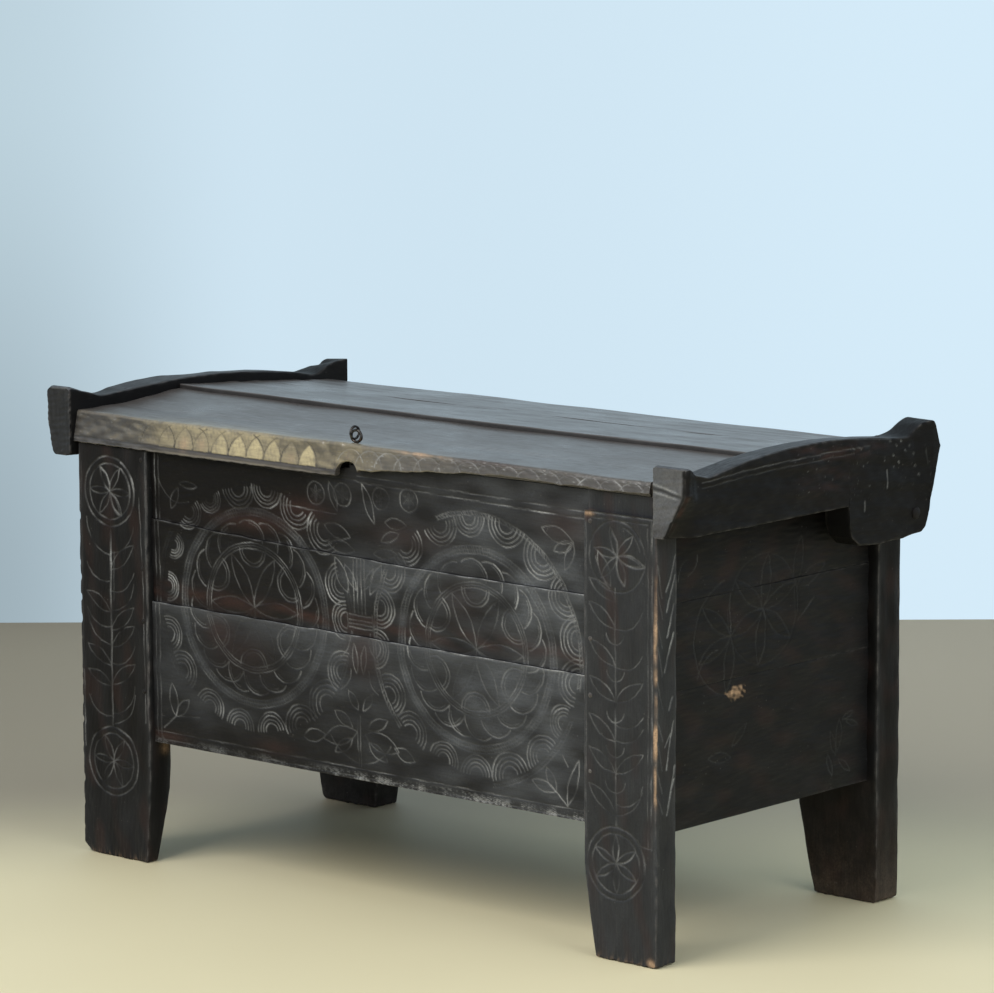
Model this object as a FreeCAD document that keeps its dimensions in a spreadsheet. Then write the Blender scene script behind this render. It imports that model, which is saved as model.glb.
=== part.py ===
import FreeCAD, Part
# Carved storage chest: four plank posts, wedge boards between them, and an arched lid on two wooden pins.
import math
import os

import Sketcher
from FreeCAD import Placement, Rotation, Vector

# Driving sizes, in millimetres. X runs along the chest, -Y is its front and Z is up.
SIZES = {
    # carcass over its posts
    "length": 1200,
    "depth": 592,
    # posts: planks that stand with their broad faces to the front and back
    "front_post_thickness": 46,
    "back_post_thickness": 56,
    "front_left_width": 154,
    "front_right_width": 138,
    "back_left_width": 168,
    "back_right_width": 152,
    "shoulder_height": 670,
    "back_post_rise": 10,
    "foot_taper_height": 140,
    "front_left_taper": 10,
    "front_right_taper": 22,
    "back_left_taper": 22,
    "back_left_outer_taper": 26,
    "back_right_taper": 31,
    "front_left_corner": 16,
    "front_right_corner": 4,
    "back_left_corner": 6,
    "back_right_corner": 5,
    "foot_thinning": 21,
    "foot_thinning_height": 118,
    # wedge boards: thick upper edge with a groove, thin lower edge with a tongue
    "board_thick": 24,
    "board_thin": 12,
    "board_lean": 4,
    "tongue_tip": 6,
    "tongue_length": 9,
    "sill_thickness": 20,
    "board_housing": 25,
    "end_housing": 12,
    "fit_gap": 0.3,
    "end_gap": 0.5,
    # front and back walls
    "panel_recess": 9,
    "panel_bottom": 199,
    "upper_joint_left_share": 0.7253,
    "upper_joint_right_share": 0.6853,
    "lower_joint_left_share": 0.4575,
    "lower_joint_right_share": 0.4436,
    "hasp_slot_left": -33,
    "hasp_slot_right": -15,
    "hasp_slot_drop": 16,
    "latch_recess_depth": 16,
    "back_upper_joint_share": 0.7297,
    "back_lower_joint_share": 0.4699,
    # end walls
    "end_recess": 19,
    "end_drop": 6,
    "end_lower_joint_share": 0.4242,
    "end_upper_joint_share": 0.6909,
    "end_front_rise": 18,
    "end_back_rise": 8,
    # floor
    "floor_rise": 5,
    "floor_thickness": 18,
    "floor_housing": 10,
    # pegs through the posts and board ends
    "board_peg_radius": 4,
    "board_peg_inset": 12,
    "board_peg_proud": 1,
    "peg_back_wall": 3,
    # lid boards: rises over the front board's under side, from the front edge to the rear one
    "lid_rise": 30,
    "lip_overhang": 7,
    "lip_lean": 10,
    "lip_clearance": 3,
    "lip_drop": 28,
    "lid_front_thickness": 22,
    "lid_arris": 3,
    "lid_flat_share": 0.4,
    "first_joint_share": 0.3986,
    "first_joint_rise": 35.5,
    "first_step": 4.5,
    "second_joint_share": 0.7196,
    "second_joint_rise": 26,
    "second_step": 3,
    "lid_rear_reach": 6,
    "lid_rear_rise": 4,
    "lid_rear_thickness": 14,
    # lower edge of the lip: key notch near the middle, worn away to the right of it
    "notch_left": -31,
    "notch_right": 14,
    "notch_radius": 24,
    "worn_start_rise": 12,
    "worn_end_rise": 34,
    "lip_gap_right": 18,
    # lid cheeks
    "cheek_clearance": 4,
    "cheek_thickness": 46,
    "cheek_housing": 18,
    "cheek_front_reach": 14,
    "cheek_drop": 55,
    "valley_rise": 29.5,
    "arch_rise": 22.5,
    "arch_front_setback": 58,
    "front_horn_rise": 22.5,
    "lobe_drop": 66,
    "lobe_front_setback": 198,
    # the two cheeks behind their arches, and how far their faces flare out at the ends
    "left_rear_reach": 44,
    "right_rear_reach": 24,
    "left_arch_rear_setback": 14,
    "right_arch_rear_setback": 43,
    "left_rear_horn_rise": 12.5,
    "right_rear_horn_rise": 25.5,
    "left_front_flare": 5,
    "right_front_flare": 18,
    "left_rear_flare": 3,
    "right_rear_flare": 5,
    "left_toe_inset": 7,
    "right_toe_inset": 0,
    "flare_run": 40,
    "flare_inset": 34,
    "flare_rise": 10,
    # hinge pins
    "pin_radius": 9,
    "pin_setback": 32,
    "pin_drop": 84,
    "pin_depth": 58,
    "pin_proud": 5,
    "pin_clearance": 0.05,
    "pin_fit": 0.02,
    # lid pegs
    "lid_peg_radius": 4,
    "lid_peg_inset": 9,
    "lid_peg_bite": 18,
    "lid_peg_proud": 1,
    # iron eye and ring
    "eye_x": -6,
    "eye_setback": 16,
    "eye_radius": 9,
    "eye_wire": 2.25,
    "eye_lift": 3,
    "shank_radius": 3,
    "shank_clearance": 0.1,
    "shank_length": 32,
    "clench_length": 26,
    "clench_radius": 1.8,
    "clench_play": 3,
    "ring_radius": 9.5,
    "ring_wire": 2,
    "ring_play": 0.4,
    "ring_droop_share": 0.7071,
    # overrun of every cut past the face it opens
    "overrun": 5,
}

doc = FreeCAD.newDocument("storage_chest")
sheet = doc.addObject("Spreadsheet::Sheet", "sizes")
for row, (alias, value) in enumerate(SIZES.items(), start=1):
    sheet.set("A%d" % row, alias)
    sheet.set("B%d" % row, str(value))
    sheet.setAlias("B%d" % row, alias)
doc.recompute()


class Formula:
    """A sum of named sizes: its number now, and the same sum as text for setExpression."""

    def __init__(self, number, text):
        self.number = number
        self.text = text

    def _join(self, other, sign, number):
        return Formula(number, "(%s %s %s)" % (self.text, sign, as_formula(other).text))

    def __add__(self, other):
        return self._join(other, "+", self.number + as_formula(other).number)

    def __sub__(self, other):
        return self._join(other, "-", self.number - as_formula(other).number)

    def __mul__(self, other):
        return self._join(other, "*", self.number * as_formula(other).number)

    def __truediv__(self, other):
        return self._join(other, "/", self.number / as_formula(other).number)

    def __neg__(self):
        return Formula(-self.number, "(-1 * %s)" % self.text)


def as_formula(value):
    """A plain number counts as a formula too."""
    return value if isinstance(value, Formula) else Formula(float(value), repr(float(value)))


def root(value):
    """Square root of a formula."""
    return Formula(math.sqrt(value.number), "sqrt(%s)" % value.text)


class Dimensions:
    """Each alias of the sheet as a formula, by name."""


dim = Dimensions()
for alias, value in SIZES.items():
    setattr(dim, alias, Formula(float(value), "sizes." + alias))


class Arc:
    """A corner reached along an arc: bulge 1 lies left of the way from the last corner, and -1 right."""

    def __init__(self, across, up, radius, bulge):
        self.point = (across, up)
        self.radius = radius
        self.bulge = bulge


class Circle:
    """A round hole or peg in an outline's plane."""

    def __init__(self, across, up, radius):
        self.point = (across, up)
        self.radius = radius


LEFT, RIGHT = -1, 1
FRONT, BACK = -1, 1
pieces = []
cuts = []

# The frame's origin is on the floor under the middle of the whole object's box.
half_length = dim.length / 2
half_depth = dim.depth / 2
cheek_inner = half_length + dim.cheek_clearance
cheek_outer = cheek_inner + dim.cheek_thickness
centre_shift_x = (dim.left_front_flare - dim.right_front_flare) / 2
centre_shift_y = (dim.cheek_front_reach - dim.left_rear_reach) / 2
clench_x = dim.eye_x - dim.shank_radius

# Heights that the walls and the lid share
back_top = dim.shoulder_height + dim.back_post_rise
end_bottom = dim.panel_bottom - dim.end_drop
floor_underside = dim.panel_bottom + dim.floor_rise
lid_underside = dim.shoulder_height + dim.lid_rise
panel_top = lid_underside - dim.end_gap
lid_front_top = lid_underside + dim.lid_front_thickness
lip_bottom = lid_underside - dim.lip_drop
cheek_bottom = lid_underside - dim.cheek_drop
arch_valley = lid_underside + dim.valley_rise
arch_top = arch_valley + dim.arch_rise
lobe_bottom = cheek_bottom - dim.lobe_drop
pin_height = lid_underside - dim.pin_drop
shank_foot = lid_front_top + dim.eye_lift - dim.shank_length


def bind(thing, path, formula):
    """Tie one property of an object to a formula."""
    thing.setExpression(path, as_formula(formula).text)


def keep(thing, x=0, y=0):
    """Note a finished sub-part, and stand it in the object's frame, itself moved along the carcass."""
    bind(thing, "Placement.Base.x", centre_shift_x + x)
    bind(thing, "Placement.Base.y", centre_shift_y + y)
    pieces.append(thing)


def new_body(label):
    """An empty body that will be one sub-part."""
    body = doc.addObject("PartDesign::Body", label)
    body.Label = label
    return body


def origin_plane(body, role):
    """One of the body's own origin planes."""
    return next(plane for plane in body.Origin.OriginFeatures if plane.Role == role)


def pin_point(sketch, edge, end, point):
    """Hold one end of an edge at a point worked out from the sheet."""
    for kind, formula in (("DistanceX", point[0]), ("DistanceY", point[1])):
        formula = as_formula(formula)
        at = sketch.addConstraint(Sketcher.Constraint(kind, -1, 1, edge, end, formula.number))
        bind(sketch, "Constraints[%d]" % at, formula)


def bulged_arc(start, finish, radius, bulge):
    """Arc of a given radius between two places, on the side that bulge names."""
    chord = finish - start
    middle = (start + finish) / 2
    rise = math.sqrt(max(radius ** 2 - chord.Length ** 2 / 4, 0))
    side = Vector(-chord.y, chord.x, 0).normalize() * bulge
    centre = middle - side * rise
    first = math.atan2(start.y - centre.y, start.x - centre.x)
    last = math.atan2(finish.y - centre.y, finish.x - centre.x)
    circle = Part.Circle(centre, Vector(0, 0, 1), radius)
    if bulge > 0:
        return Part.ArcOfCircle(circle, last, first)
    return Part.ArcOfCircle(circle, first, last)


def draw_outline(sketch, corners):
    """Closed outline of straight and round edges through the corners, each corner held by the sheet."""
    points = [corner.point if isinstance(corner, Arc) else corner for corner in corners]
    places = [Vector(as_formula(across).number, as_formula(up).number, 0) for across, up in points]
    ends = []
    for index, corner in enumerate(corners):
        start, finish = places[index - 1], places[index]
        if isinstance(corner, Arc):
            arc = bulged_arc(start, finish, corner.radius.number, corner.bulge)
            edge = sketch.addGeometry(arc, False)
            bound = sketch.addConstraint(Sketcher.Constraint("Radius", edge, corner.radius.number))
            bind(sketch, "Constraints[%d]" % bound, corner.radius)
            ends.append((edge, 2, 1) if corner.bulge > 0 else (edge, 1, 2))
        else:
            edge = sketch.addGeometry(Part.LineSegment(start, finish), False)
            ends.append((edge, 1, 2))
    for index, (edge, first, last) in enumerate(ends):
        following = ends[(index + 1) % len(ends)]
        sketch.addConstraint(Sketcher.Constraint("Coincident", edge, last, following[0], following[1]))
        pin_point(sketch, edge, last, points[index])


def draw_circle(sketch, circle):
    """Full circle with its centre and radius held by the sheet."""
    across, up = (as_formula(value) for value in circle.point)
    centre = Vector(across.number, up.number, 0)
    edge = sketch.addGeometry(Part.Circle(centre, Vector(0, 0, 1), circle.radius.number), False)
    bound = sketch.addConstraint(Sketcher.Constraint("Radius", edge, circle.radius.number))
    bind(sketch, "Constraints[%d]" % bound, circle.radius)
    pin_point(sketch, edge, 3, circle.point)


def new_sketch(body, name, role, at, corners=(), circles=()):
    """Sketch on an origin plane of the body, moved along that plane's own axis to the place given."""
    sketch = body.newObject("Sketcher::SketchObject", "%s_%s" % (body.Label, name))
    sketch.AttachmentSupport = (origin_plane(body, role), [""])
    sketch.MapMode = "FlatFace"
    # the XZ plane looks along -Y, so its offset runs the other way
    bind(sketch, "AttachmentOffset.Base.z", -as_formula(at) if role == "XZ_Plane" else at)
    if corners:
        draw_outline(sketch, corners)
    for circle in circles:
        draw_circle(sketch, circle)
    return sketch


def pad(body, name, role, low, high, corners=(), circles=()):
    """Solid slab of an outline between two places along the axis across its plane."""
    low, high = as_formula(low), as_formula(high)
    sketch = new_sketch(body, name, role, high if role == "XZ_Plane" else low, corners, circles)
    feature = body.newObject("PartDesign::Pad", "%s_%s_pad" % (body.Label, name))
    feature.Profile = sketch
    bind(feature, "Length", high - low)
    sketch.Visibility = False
    return feature


def pocket(body, name, role, low, high, corners=(), circles=()):
    """Cut an outline away between two places along the axis across its plane."""
    low, high = as_formula(low), as_formula(high)
    sketch = new_sketch(body, name, role, low if role == "XZ_Plane" else high, corners, circles)
    feature = body.newObject("PartDesign::Pocket", "%s_%s_pocket" % (body.Label, name))
    feature.Profile = sketch
    bind(feature, "Length", high - low)
    cuts.append((body, feature))
    return feature


def loft(body, name, low, high, low_corners, high_corners):
    """Straight-sided solid between an outline at one X and a like outline at another."""
    first = new_sketch(body, name + "_low", "YZ_Plane", low, low_corners)
    second = new_sketch(body, name + "_high", "YZ_Plane", high, high_corners)
    feature = body.newObject("PartDesign::AdditiveLoft", "%s_%s_loft" % (body.Label, name))
    feature.Profile = first
    feature.Sections = [second]
    feature.Ruled = True
    return feature


def rectangle(low_across, high_across, low_up, high_up):
    """Corners of an upright rectangle."""
    return [(low_across, low_up), (high_across, low_up), (high_across, high_up), (low_across, high_up)]


def ordered(first, second):
    """Two places along an axis, the lower one first."""
    first, second = as_formula(first), as_formula(second)
    return (first, second) if first.number < second.number else (second, first)


# Posts

front_panel_plane = half_depth - dim.panel_recess
end_plane = half_length - dim.end_recess
peg_height_shares = [0.9108, 0.5614, 0.3912, 0.1635]
peg_heights = [dim.panel_bottom + (panel_top - dim.panel_bottom) * share for share in peg_height_shares]
post_widths = {
    (LEFT, FRONT): dim.front_left_width,
    (RIGHT, FRONT): dim.front_right_width,
    (LEFT, BACK): dim.back_left_width,
    (RIGHT, BACK): dim.back_right_width,
}
foot_tapers = {
    (LEFT, FRONT): dim.front_left_taper,
    (RIGHT, FRONT): dim.front_right_taper,
    (LEFT, BACK): dim.back_left_taper,
    (RIGHT, BACK): dim.back_right_taper,
}
foot_corners = {
    (LEFT, FRONT): dim.front_left_corner,
    (RIGHT, FRONT): dim.front_right_corner,
    (LEFT, BACK): dim.back_left_corner,
    (RIGHT, BACK): dim.back_right_corner,
}
side_names = {LEFT: "left", RIGHT: "right"}
wall_names = {FRONT: "front", BACK: "back"}
hinge_y = half_depth - dim.pin_setback


def post_inner(side, wall):
    """X of the post's edge that faces along the chest."""
    return (half_length - post_widths[side, wall]) * side


def peg_places(side, wall):
    """Where the board pegs stand in their post, seen from the front."""
    across = post_inner(side, wall) + dim.board_peg_inset * side
    return [Circle(across, up, dim.board_peg_radius) for up in peg_heights]


def make_post(side, wall):
    """Upright plank with a tapered foot, grooved in its inner edge and in its inward face."""
    body = new_body("post_%s_%s" % (wall_names[wall], side_names[side]))
    thickness = dim.front_post_thickness if wall == FRONT else dim.back_post_thickness
    top = panel_top if wall == FRONT else back_top
    outer_x = half_length * side
    inner_x = post_inner(side, wall)
    outer_y = half_depth * wall
    inner_y = (half_depth - thickness) * wall
    corner = foot_corners[side, wall]
    foot_x = outer_x
    outline = [(inner_x + foot_tapers[side, wall] * side, 0), (inner_x, dim.foot_taper_height),
               (inner_x, top), (outer_x, top)]
    if (side, wall) == (LEFT, BACK):
        foot_x = outer_x - dim.back_left_outer_taper * side
        outline.append((outer_x, dim.foot_taper_height))
    outline += [(foot_x, corner), (foot_x - corner * side, 0)]
    pad(body, "plank", "XZ_Plane", *ordered(outer_y, inner_y), outline)
    if wall == FRONT:
        rebate = rectangle(-half_length - dim.overrun, half_length + dim.overrun,
                           -half_depth - dim.overrun, -front_panel_plane)
        pocket(body, "rebate", "XY_Plane", dim.shoulder_height, top + dim.overrun, rebate)
    board_groove = rectangle(
        *ordered(inner_x - dim.overrun * side, inner_x + dim.board_housing * side),
        *ordered((front_panel_plane + dim.fit_gap) * wall,
                 (front_panel_plane - dim.board_thick - dim.fit_gap) * wall))
    pocket(body, "board_groove", "XY_Plane", dim.panel_bottom - dim.fit_gap, top + dim.overrun, board_groove)
    end_groove = rectangle(
        *ordered((end_plane + dim.fit_gap) * side, (end_plane - dim.board_thick - dim.fit_gap) * side),
        *ordered(inner_y - dim.overrun * wall, inner_y + dim.end_housing * wall))
    pocket(body, "end_groove", "XY_Plane", end_bottom - dim.fit_gap, top + dim.overrun, end_groove)
    pocket(body, "peg_holes", "XZ_Plane",
           *ordered(outer_y + dim.overrun * wall, inner_y + dim.peg_back_wall * wall),
           circles=peg_places(side, wall))
    if (side, wall) == (LEFT, FRONT):
        thinned = [
            (inner_y, dim.foot_thinning_height),
            (inner_y - dim.foot_thinning, 0),
            (inner_y - dim.foot_thinning, -dim.overrun),
            (inner_y + dim.overrun, -dim.overrun),
            (inner_y + dim.overrun, dim.foot_thinning_height),
        ]
        pocket(body, "thinned_foot", "YZ_Plane", outer_x - dim.overrun, inner_x + dim.overrun, thinned)
    if wall == BACK:
        bore = Circle(hinge_y, pin_height, dim.pin_radius + dim.pin_fit)
        pocket(body, "pin_bore", "YZ_Plane",
               *ordered(outer_x + dim.overrun * side, outer_x - dim.pin_depth * side), circles=[bore])
    keep(body)


for wall in (FRONT, BACK):
    for side in (LEFT, RIGHT):
        make_post(side, wall)


# Wall boards. Depth into a board is measured inwards from the plane of its proud upper edge.

tongue_centre = dim.board_lean + dim.board_thin / 2
floor_slot_depth = dim.board_thick - dim.floor_housing


def board_section(place, bottom, top, grooved, tongued, sill=False):
    """Corners of a wedge board's cross-section, where place turns a depth into a coordinate.

    A sill is the bottom board: it is thick below too, and has a slot for the floor boards.
    """
    lower_outer = dim.board_lean / 2 if sill else dim.board_lean
    lower_inner = lower_outer + (dim.sill_thickness if sill else dim.board_thin)
    corners = [(place(dim.board_thick), top)]
    if sill:
        slot_low = floor_underside - dim.fit_gap
        slot_high = floor_underside + dim.floor_thickness + dim.fit_gap
        widening = (dim.board_thick - lower_inner) / (top - bottom)
        corners += [(place(lower_inner + widening * (slot_high - bottom)), slot_high),
                    (place(floor_slot_depth), slot_high),
                    (place(floor_slot_depth), slot_low),
                    (place(lower_inner + widening * (slot_low - bottom)), slot_low)]
    corners.append((place(lower_inner), bottom))
    if tongued:
        tip = bottom - dim.tongue_length
        corners += [(place(tongue_centre + dim.tongue_tip / 2), tip),
                    (place(tongue_centre - dim.tongue_tip / 2), tip)]
    corners += [(place(lower_outer), bottom), (place(as_formula(0)), top)]
    if grooved:
        mouth = dim.board_thin / 2 + dim.fit_gap
        base = dim.tongue_tip / 2 + dim.fit_gap
        floor = top - dim.tongue_length - dim.fit_gap
        corners += [(place(tongue_centre - mouth), top), (place(tongue_centre - base), floor),
                    (place(tongue_centre + base), floor), (place(tongue_centre + mouth), top)]
    return corners


def cut_latch_recesses(body):
    """The slot left by a hasp in the front wall's upper edge, and room beside it for the eye's clenched end."""
    recesses = [
        ("hasp_slot", dim.hasp_slot_left, dim.hasp_slot_right, lid_underside - dim.hasp_slot_drop),
        ("clench_room", clench_x - dim.clench_play, clench_x + dim.clench_length + dim.clench_play,
         shank_foot - dim.clench_play),
    ]
    for name, low_x, high_x, floor in recesses:
        opening = rectangle(low_x, high_x, -front_panel_plane - dim.overrun,
                            -front_panel_plane + dim.latch_recess_depth)
        pocket(body, name, "XY_Plane", floor, panel_top + dim.overrun, opening)


def make_wall_boards(wall):
    """Three wedge boards that run along the chest between two posts, their ends in the posts' grooves."""
    low_x = post_inner(LEFT, wall) - dim.board_housing + dim.end_gap
    high_x = post_inner(RIGHT, wall) + dim.board_housing - dim.end_gap

    def place(depth):
        return (front_panel_plane - depth) * wall

    if wall == FRONT:
        top = panel_top
        upper_shares = [dim.upper_joint_left_share, dim.upper_joint_right_share]
        lower_shares = [dim.lower_joint_left_share, dim.lower_joint_right_share]
    else:
        top = back_top
        upper_shares = [dim.back_upper_joint_share] * 2
        lower_shares = [dim.back_lower_joint_share] * 2
    upper = [dim.panel_bottom + (top - dim.panel_bottom) * share for share in upper_shares]
    lower = [dim.panel_bottom + (top - dim.panel_bottom) * share for share in lower_shares]
    courses = [
        ("bottom", [dim.panel_bottom] * 2, lower, True, False),
        ("middle", lower, upper, True, True),
        ("top", upper, [top] * 2, False, True),
    ]
    for course, bottoms, tops, grooved, tongued in courses:
        body = new_body("%s_board_%s" % (wall_names[wall], course))
        sill = course == "bottom"
        sections = [board_section(place, bottom + dim.fit_gap / 2, top_edge - dim.fit_gap / 2,
                                  grooved, tongued, sill)
                    for bottom, top_edge in zip(bottoms, tops)]
        level = bottoms[0].text == bottoms[1].text and tops[0].text == tops[1].text
        left_end_x = low_x + dim.board_housing
        right_end_x = high_x - dim.board_housing
        if level:
            pad(body, "board", "YZ_Plane", low_x, high_x, sections[0])
        else:
            body.AllowCompound = True
            pad(body, "left_end", "YZ_Plane", low_x, left_end_x, sections[0])
            pad(body, "right_end", "YZ_Plane", right_end_x, high_x, sections[1])
        low_z = min(edge.number for edge in bottoms)
        high_z = max(edge.number for edge in tops)
        holes = [hole for side in (LEFT, RIGHT) for hole in peg_places(side, wall)
                 if low_z < hole.point[1].number < high_z]
        pocket(body, "peg_holes", "XZ_Plane",
               *ordered(half_depth * wall, (half_depth - dim.front_post_thickness) * wall), circles=holes)
        if not level:
            loft(body, "sloped", left_end_x, right_end_x, *sections)
        if wall == FRONT and course == "top":
            cut_latch_recesses(body)
        keep(body)


# The cheeks' arches, from the front valley to the rear one; the end walls are bowed like the right one.
arch_front_y = -half_depth + dim.arch_front_setback
arch_rear_y = {
    LEFT: half_depth - dim.left_arch_rear_setback,
    RIGHT: half_depth - dim.right_arch_rear_setback,
}


def arch_radius(side):
    """Radius of the arc through the two valleys and the crown of a cheek."""
    half_span = (arch_rear_y[side] - arch_front_y) / 2
    return (half_span * half_span + dim.arch_rise * dim.arch_rise) / (dim.arch_rise * 2)


def arch_height(side, along):
    """Height of a cheek's arch over a place along it."""
    offset = along - (arch_front_y + arch_rear_y[side]) / 2
    radius = arch_radius(side)
    return arch_top - radius + root(radius * radius - offset * offset)


def make_end_boards(side):
    """Three wedge boards that close one end, their ends in the grooves of a front and a back post."""
    low_y = -half_depth + dim.front_post_thickness - dim.end_housing + dim.end_gap
    high_y = half_depth - dim.back_post_thickness + dim.end_housing - dim.end_gap

    def place(depth):
        return (end_plane - depth) * side

    front_top = dim.shoulder_height + dim.end_front_rise
    back_end_top = dim.shoulder_height + dim.end_back_rise
    lower = end_bottom + (front_top - end_bottom) * dim.end_lower_joint_share
    upper = end_bottom + (front_top - end_bottom) * dim.end_upper_joint_share
    courses = [
        ("bottom", end_bottom, lower, True, False),
        ("middle", lower, upper, True, True),
        ("top", upper, arch_top, False, True),
    ]
    for course, bottom, top, grooved, tongued in courses:
        body = new_body("%s_end_board_%s" % (side_names[side], course))
        sill = course == "bottom"
        section = board_section(place, bottom + dim.fit_gap / 2, top - dim.fit_gap / 2,
                                grooved, tongued, sill)
        pad(body, "board", "XZ_Plane", low_y, high_y, section)
        across = ordered(place(as_formula(0)), place(dim.board_thick))
        across = (across[0] - dim.overrun, across[1] + dim.overrun)
        if course == "top":
            above_arch = [
                (low_y - dim.overrun, top + dim.overrun),
                (low_y - dim.overrun, front_top),
                (low_y, front_top),
                Arc(high_y, back_end_top, arch_radius(RIGHT), 1),
                (high_y + dim.overrun, back_end_top),
                (high_y + dim.overrun, top + dim.overrun),
            ]
            pocket(body, "arch", "YZ_Plane", *across, above_arch)
        keep(body)


for wall in (FRONT, BACK):
    make_wall_boards(wall)
for side in (LEFT, RIGHT):
    make_end_boards(side)


# Floor boards

def make_floor():
    """Three boards along the chest, let into the bottom boards and cut out round the posts."""
    reach_x = end_plane - floor_slot_depth - dim.fit_gap
    reach_y = front_panel_plane - floor_slot_depth - dim.fit_gap
    third = reach_y * 2 / 3
    names = ["floor_board_front", "floor_board_middle", "floor_board_rear"]
    for index, name in enumerate(names):
        low_y = -reach_y + third * index
        high_y = low_y + third
        if index > 0:
            low_y = low_y + dim.fit_gap / 2
        if index < 2:
            high_y = high_y - dim.fit_gap / 2
        if index == 1:
            outline = rectangle(-reach_x, reach_x, low_y, high_y)
        else:
            wall = FRONT if index == 0 else BACK
            thickness = dim.front_post_thickness if wall == FRONT else dim.back_post_thickness
            outer_y, inner_y = (low_y, high_y) if wall == FRONT else (high_y, low_y)
            post_y = (half_depth - thickness - dim.fit_gap) * wall
            left_x = post_inner(LEFT, wall) + dim.fit_gap
            right_x = post_inner(RIGHT, wall) - dim.fit_gap
            outline = [(-reach_x, inner_y), (-reach_x, post_y), (left_x, post_y), (left_x, outer_y),
                       (right_x, outer_y), (right_x, post_y), (reach_x, post_y), (reach_x, inner_y)]
        body = new_body(name)
        pad(body, "board", "XY_Plane", floor_underside,
            floor_underside + dim.floor_thickness, outline)
        keep(body)


make_floor()


# Lid. Setbacks run from the carcass front.

front_y = -half_depth
lip_front_y = front_y - dim.lip_overhang
lip_back_y = -front_panel_plane - dim.lip_clearance
first_joint_y = front_y + dim.depth * dim.first_joint_share
second_joint_y = front_y + dim.depth * dim.second_joint_share
lid_rear_y = half_depth + dim.lid_rear_reach
cheek_front_y = front_y - dim.cheek_front_reach
tenon_front_y = lip_back_y + dim.end_gap
lid_reach_x = cheek_inner + dim.cheek_housing - dim.end_gap
lid_flat_y = tenon_front_y + (first_joint_y - tenon_front_y) * dim.lid_flat_share


def groove_corners(joint_y, centre_z):
    """The groove in a lid board's thick front edge, from its upper lip down."""
    mouth = dim.board_thin / 2 + dim.fit_gap
    base = dim.tongue_tip / 2 + dim.fit_gap
    floor = joint_y + dim.tongue_length + dim.fit_gap
    return [(joint_y, centre_z + mouth), (floor, centre_z + base),
            (floor, centre_z - base), (joint_y, centre_z - mouth)]


def tongue_corners(joint_y, centre_z):
    """The tongue on a lid board's thin rear edge, from its under side up."""
    tip = joint_y + dim.tongue_length
    return [(joint_y, centre_z - dim.board_thin / 2), (tip, centre_z - dim.tongue_tip / 2),
            (tip, centre_z + dim.tongue_tip / 2), (joint_y, centre_z + dim.board_thin / 2)]


first_joint_top = lid_underside + dim.first_joint_rise
second_joint_top = lid_underside + dim.second_joint_rise
lid_rear_top = lid_underside + dim.lid_rear_rise
lid_rear_bottom = lid_rear_top - dim.lid_rear_thickness
first_centre_z = first_joint_top - dim.board_thin / 2
second_centre_z = second_joint_top - dim.board_thin / 2
first_step_top = first_joint_top + dim.first_step
second_step_top = second_joint_top + dim.second_step


def lid_pocket_ends(body, name, role, low, high, corners_for_side):
    """The same cut at both ends of a lid board."""
    for side in (LEFT, RIGHT):
        pocket(body, "%s_%s" % (name, side_names[side]), role, low, high, corners_for_side(side))


def lid_peg_circle(side, along):
    """A lid peg seen from above."""
    return Circle((cheek_inner + dim.lid_peg_inset) * side, along, dim.lid_peg_radius)


front_mid_y = (tenon_front_y + first_joint_y) / 2
middle_mid_y = (first_joint_y + second_joint_y) / 2
rear_mid_y = (second_joint_y + lid_rear_y) / 2
eye_y = front_y + dim.eye_setback

# Each lid peg: its board's name, where it stands and the board's under side there
lid_pegs = [
    ("front", front_mid_y, lid_underside),
    ("middle", middle_mid_y, second_step_top - dim.board_thick),
    ("rear", rear_mid_y, lid_rear_bottom),
]


def make_lid_front():
    """Front lid board: thick at its front edge, where a lip hangs before the front wall."""
    body = new_body("lid_board_front")
    lean_top_y = lip_front_y + dim.lip_lean
    section = [
        (lip_front_y, lip_bottom),
        (lip_back_y, lip_bottom),
        (lip_back_y, lid_underside),
        *tongue_corners(first_joint_y, first_centre_z),
        (lid_flat_y, lid_front_top),
        (lean_top_y + dim.lid_arris, lid_front_top),
        (lean_top_y, lid_front_top - dim.lid_arris),
    ]
    pad(body, "board", "YZ_Plane", -lid_reach_x, lid_reach_x, section)
    below = lip_bottom - dim.overrun
    worn_end_x = cheek_inner - dim.lip_gap_right
    worn_end_z = lip_bottom + dim.worn_end_rise
    lip_edge = [
        (dim.notch_left, below),
        (dim.notch_left, lip_bottom),
        Arc(dim.notch_right, lip_bottom + dim.worn_start_rise, dim.notch_radius, 1),
        (worn_end_x, worn_end_z),
        (lid_reach_x + dim.overrun, worn_end_z),
        (lid_reach_x + dim.overrun, below),
    ]
    pocket(body, "lip_edge", "XZ_Plane", lip_front_y - dim.overrun, tenon_front_y, lip_edge)
    above = lid_front_top + dim.overrun

    def beyond_lip(side):
        inner = cheek_inner - (dim.lip_gap_right if side == RIGHT else dim.fit_gap)
        return rectangle(*ordered(inner * side, (lid_reach_x + dim.overrun) * side),
                         lip_front_y - dim.overrun, tenon_front_y)

    lid_pocket_ends(body, "beyond_lip", "XY_Plane", below, above, beyond_lip)
    holes = [lid_peg_circle(side, front_mid_y) for side in (LEFT, RIGHT)]
    holes.append(Circle(dim.eye_x, eye_y, dim.shank_radius + dim.shank_clearance))
    pocket(body, "holes", "XY_Plane", lid_underside - dim.overrun, arch_top, circles=holes)
    keep(body)


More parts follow.
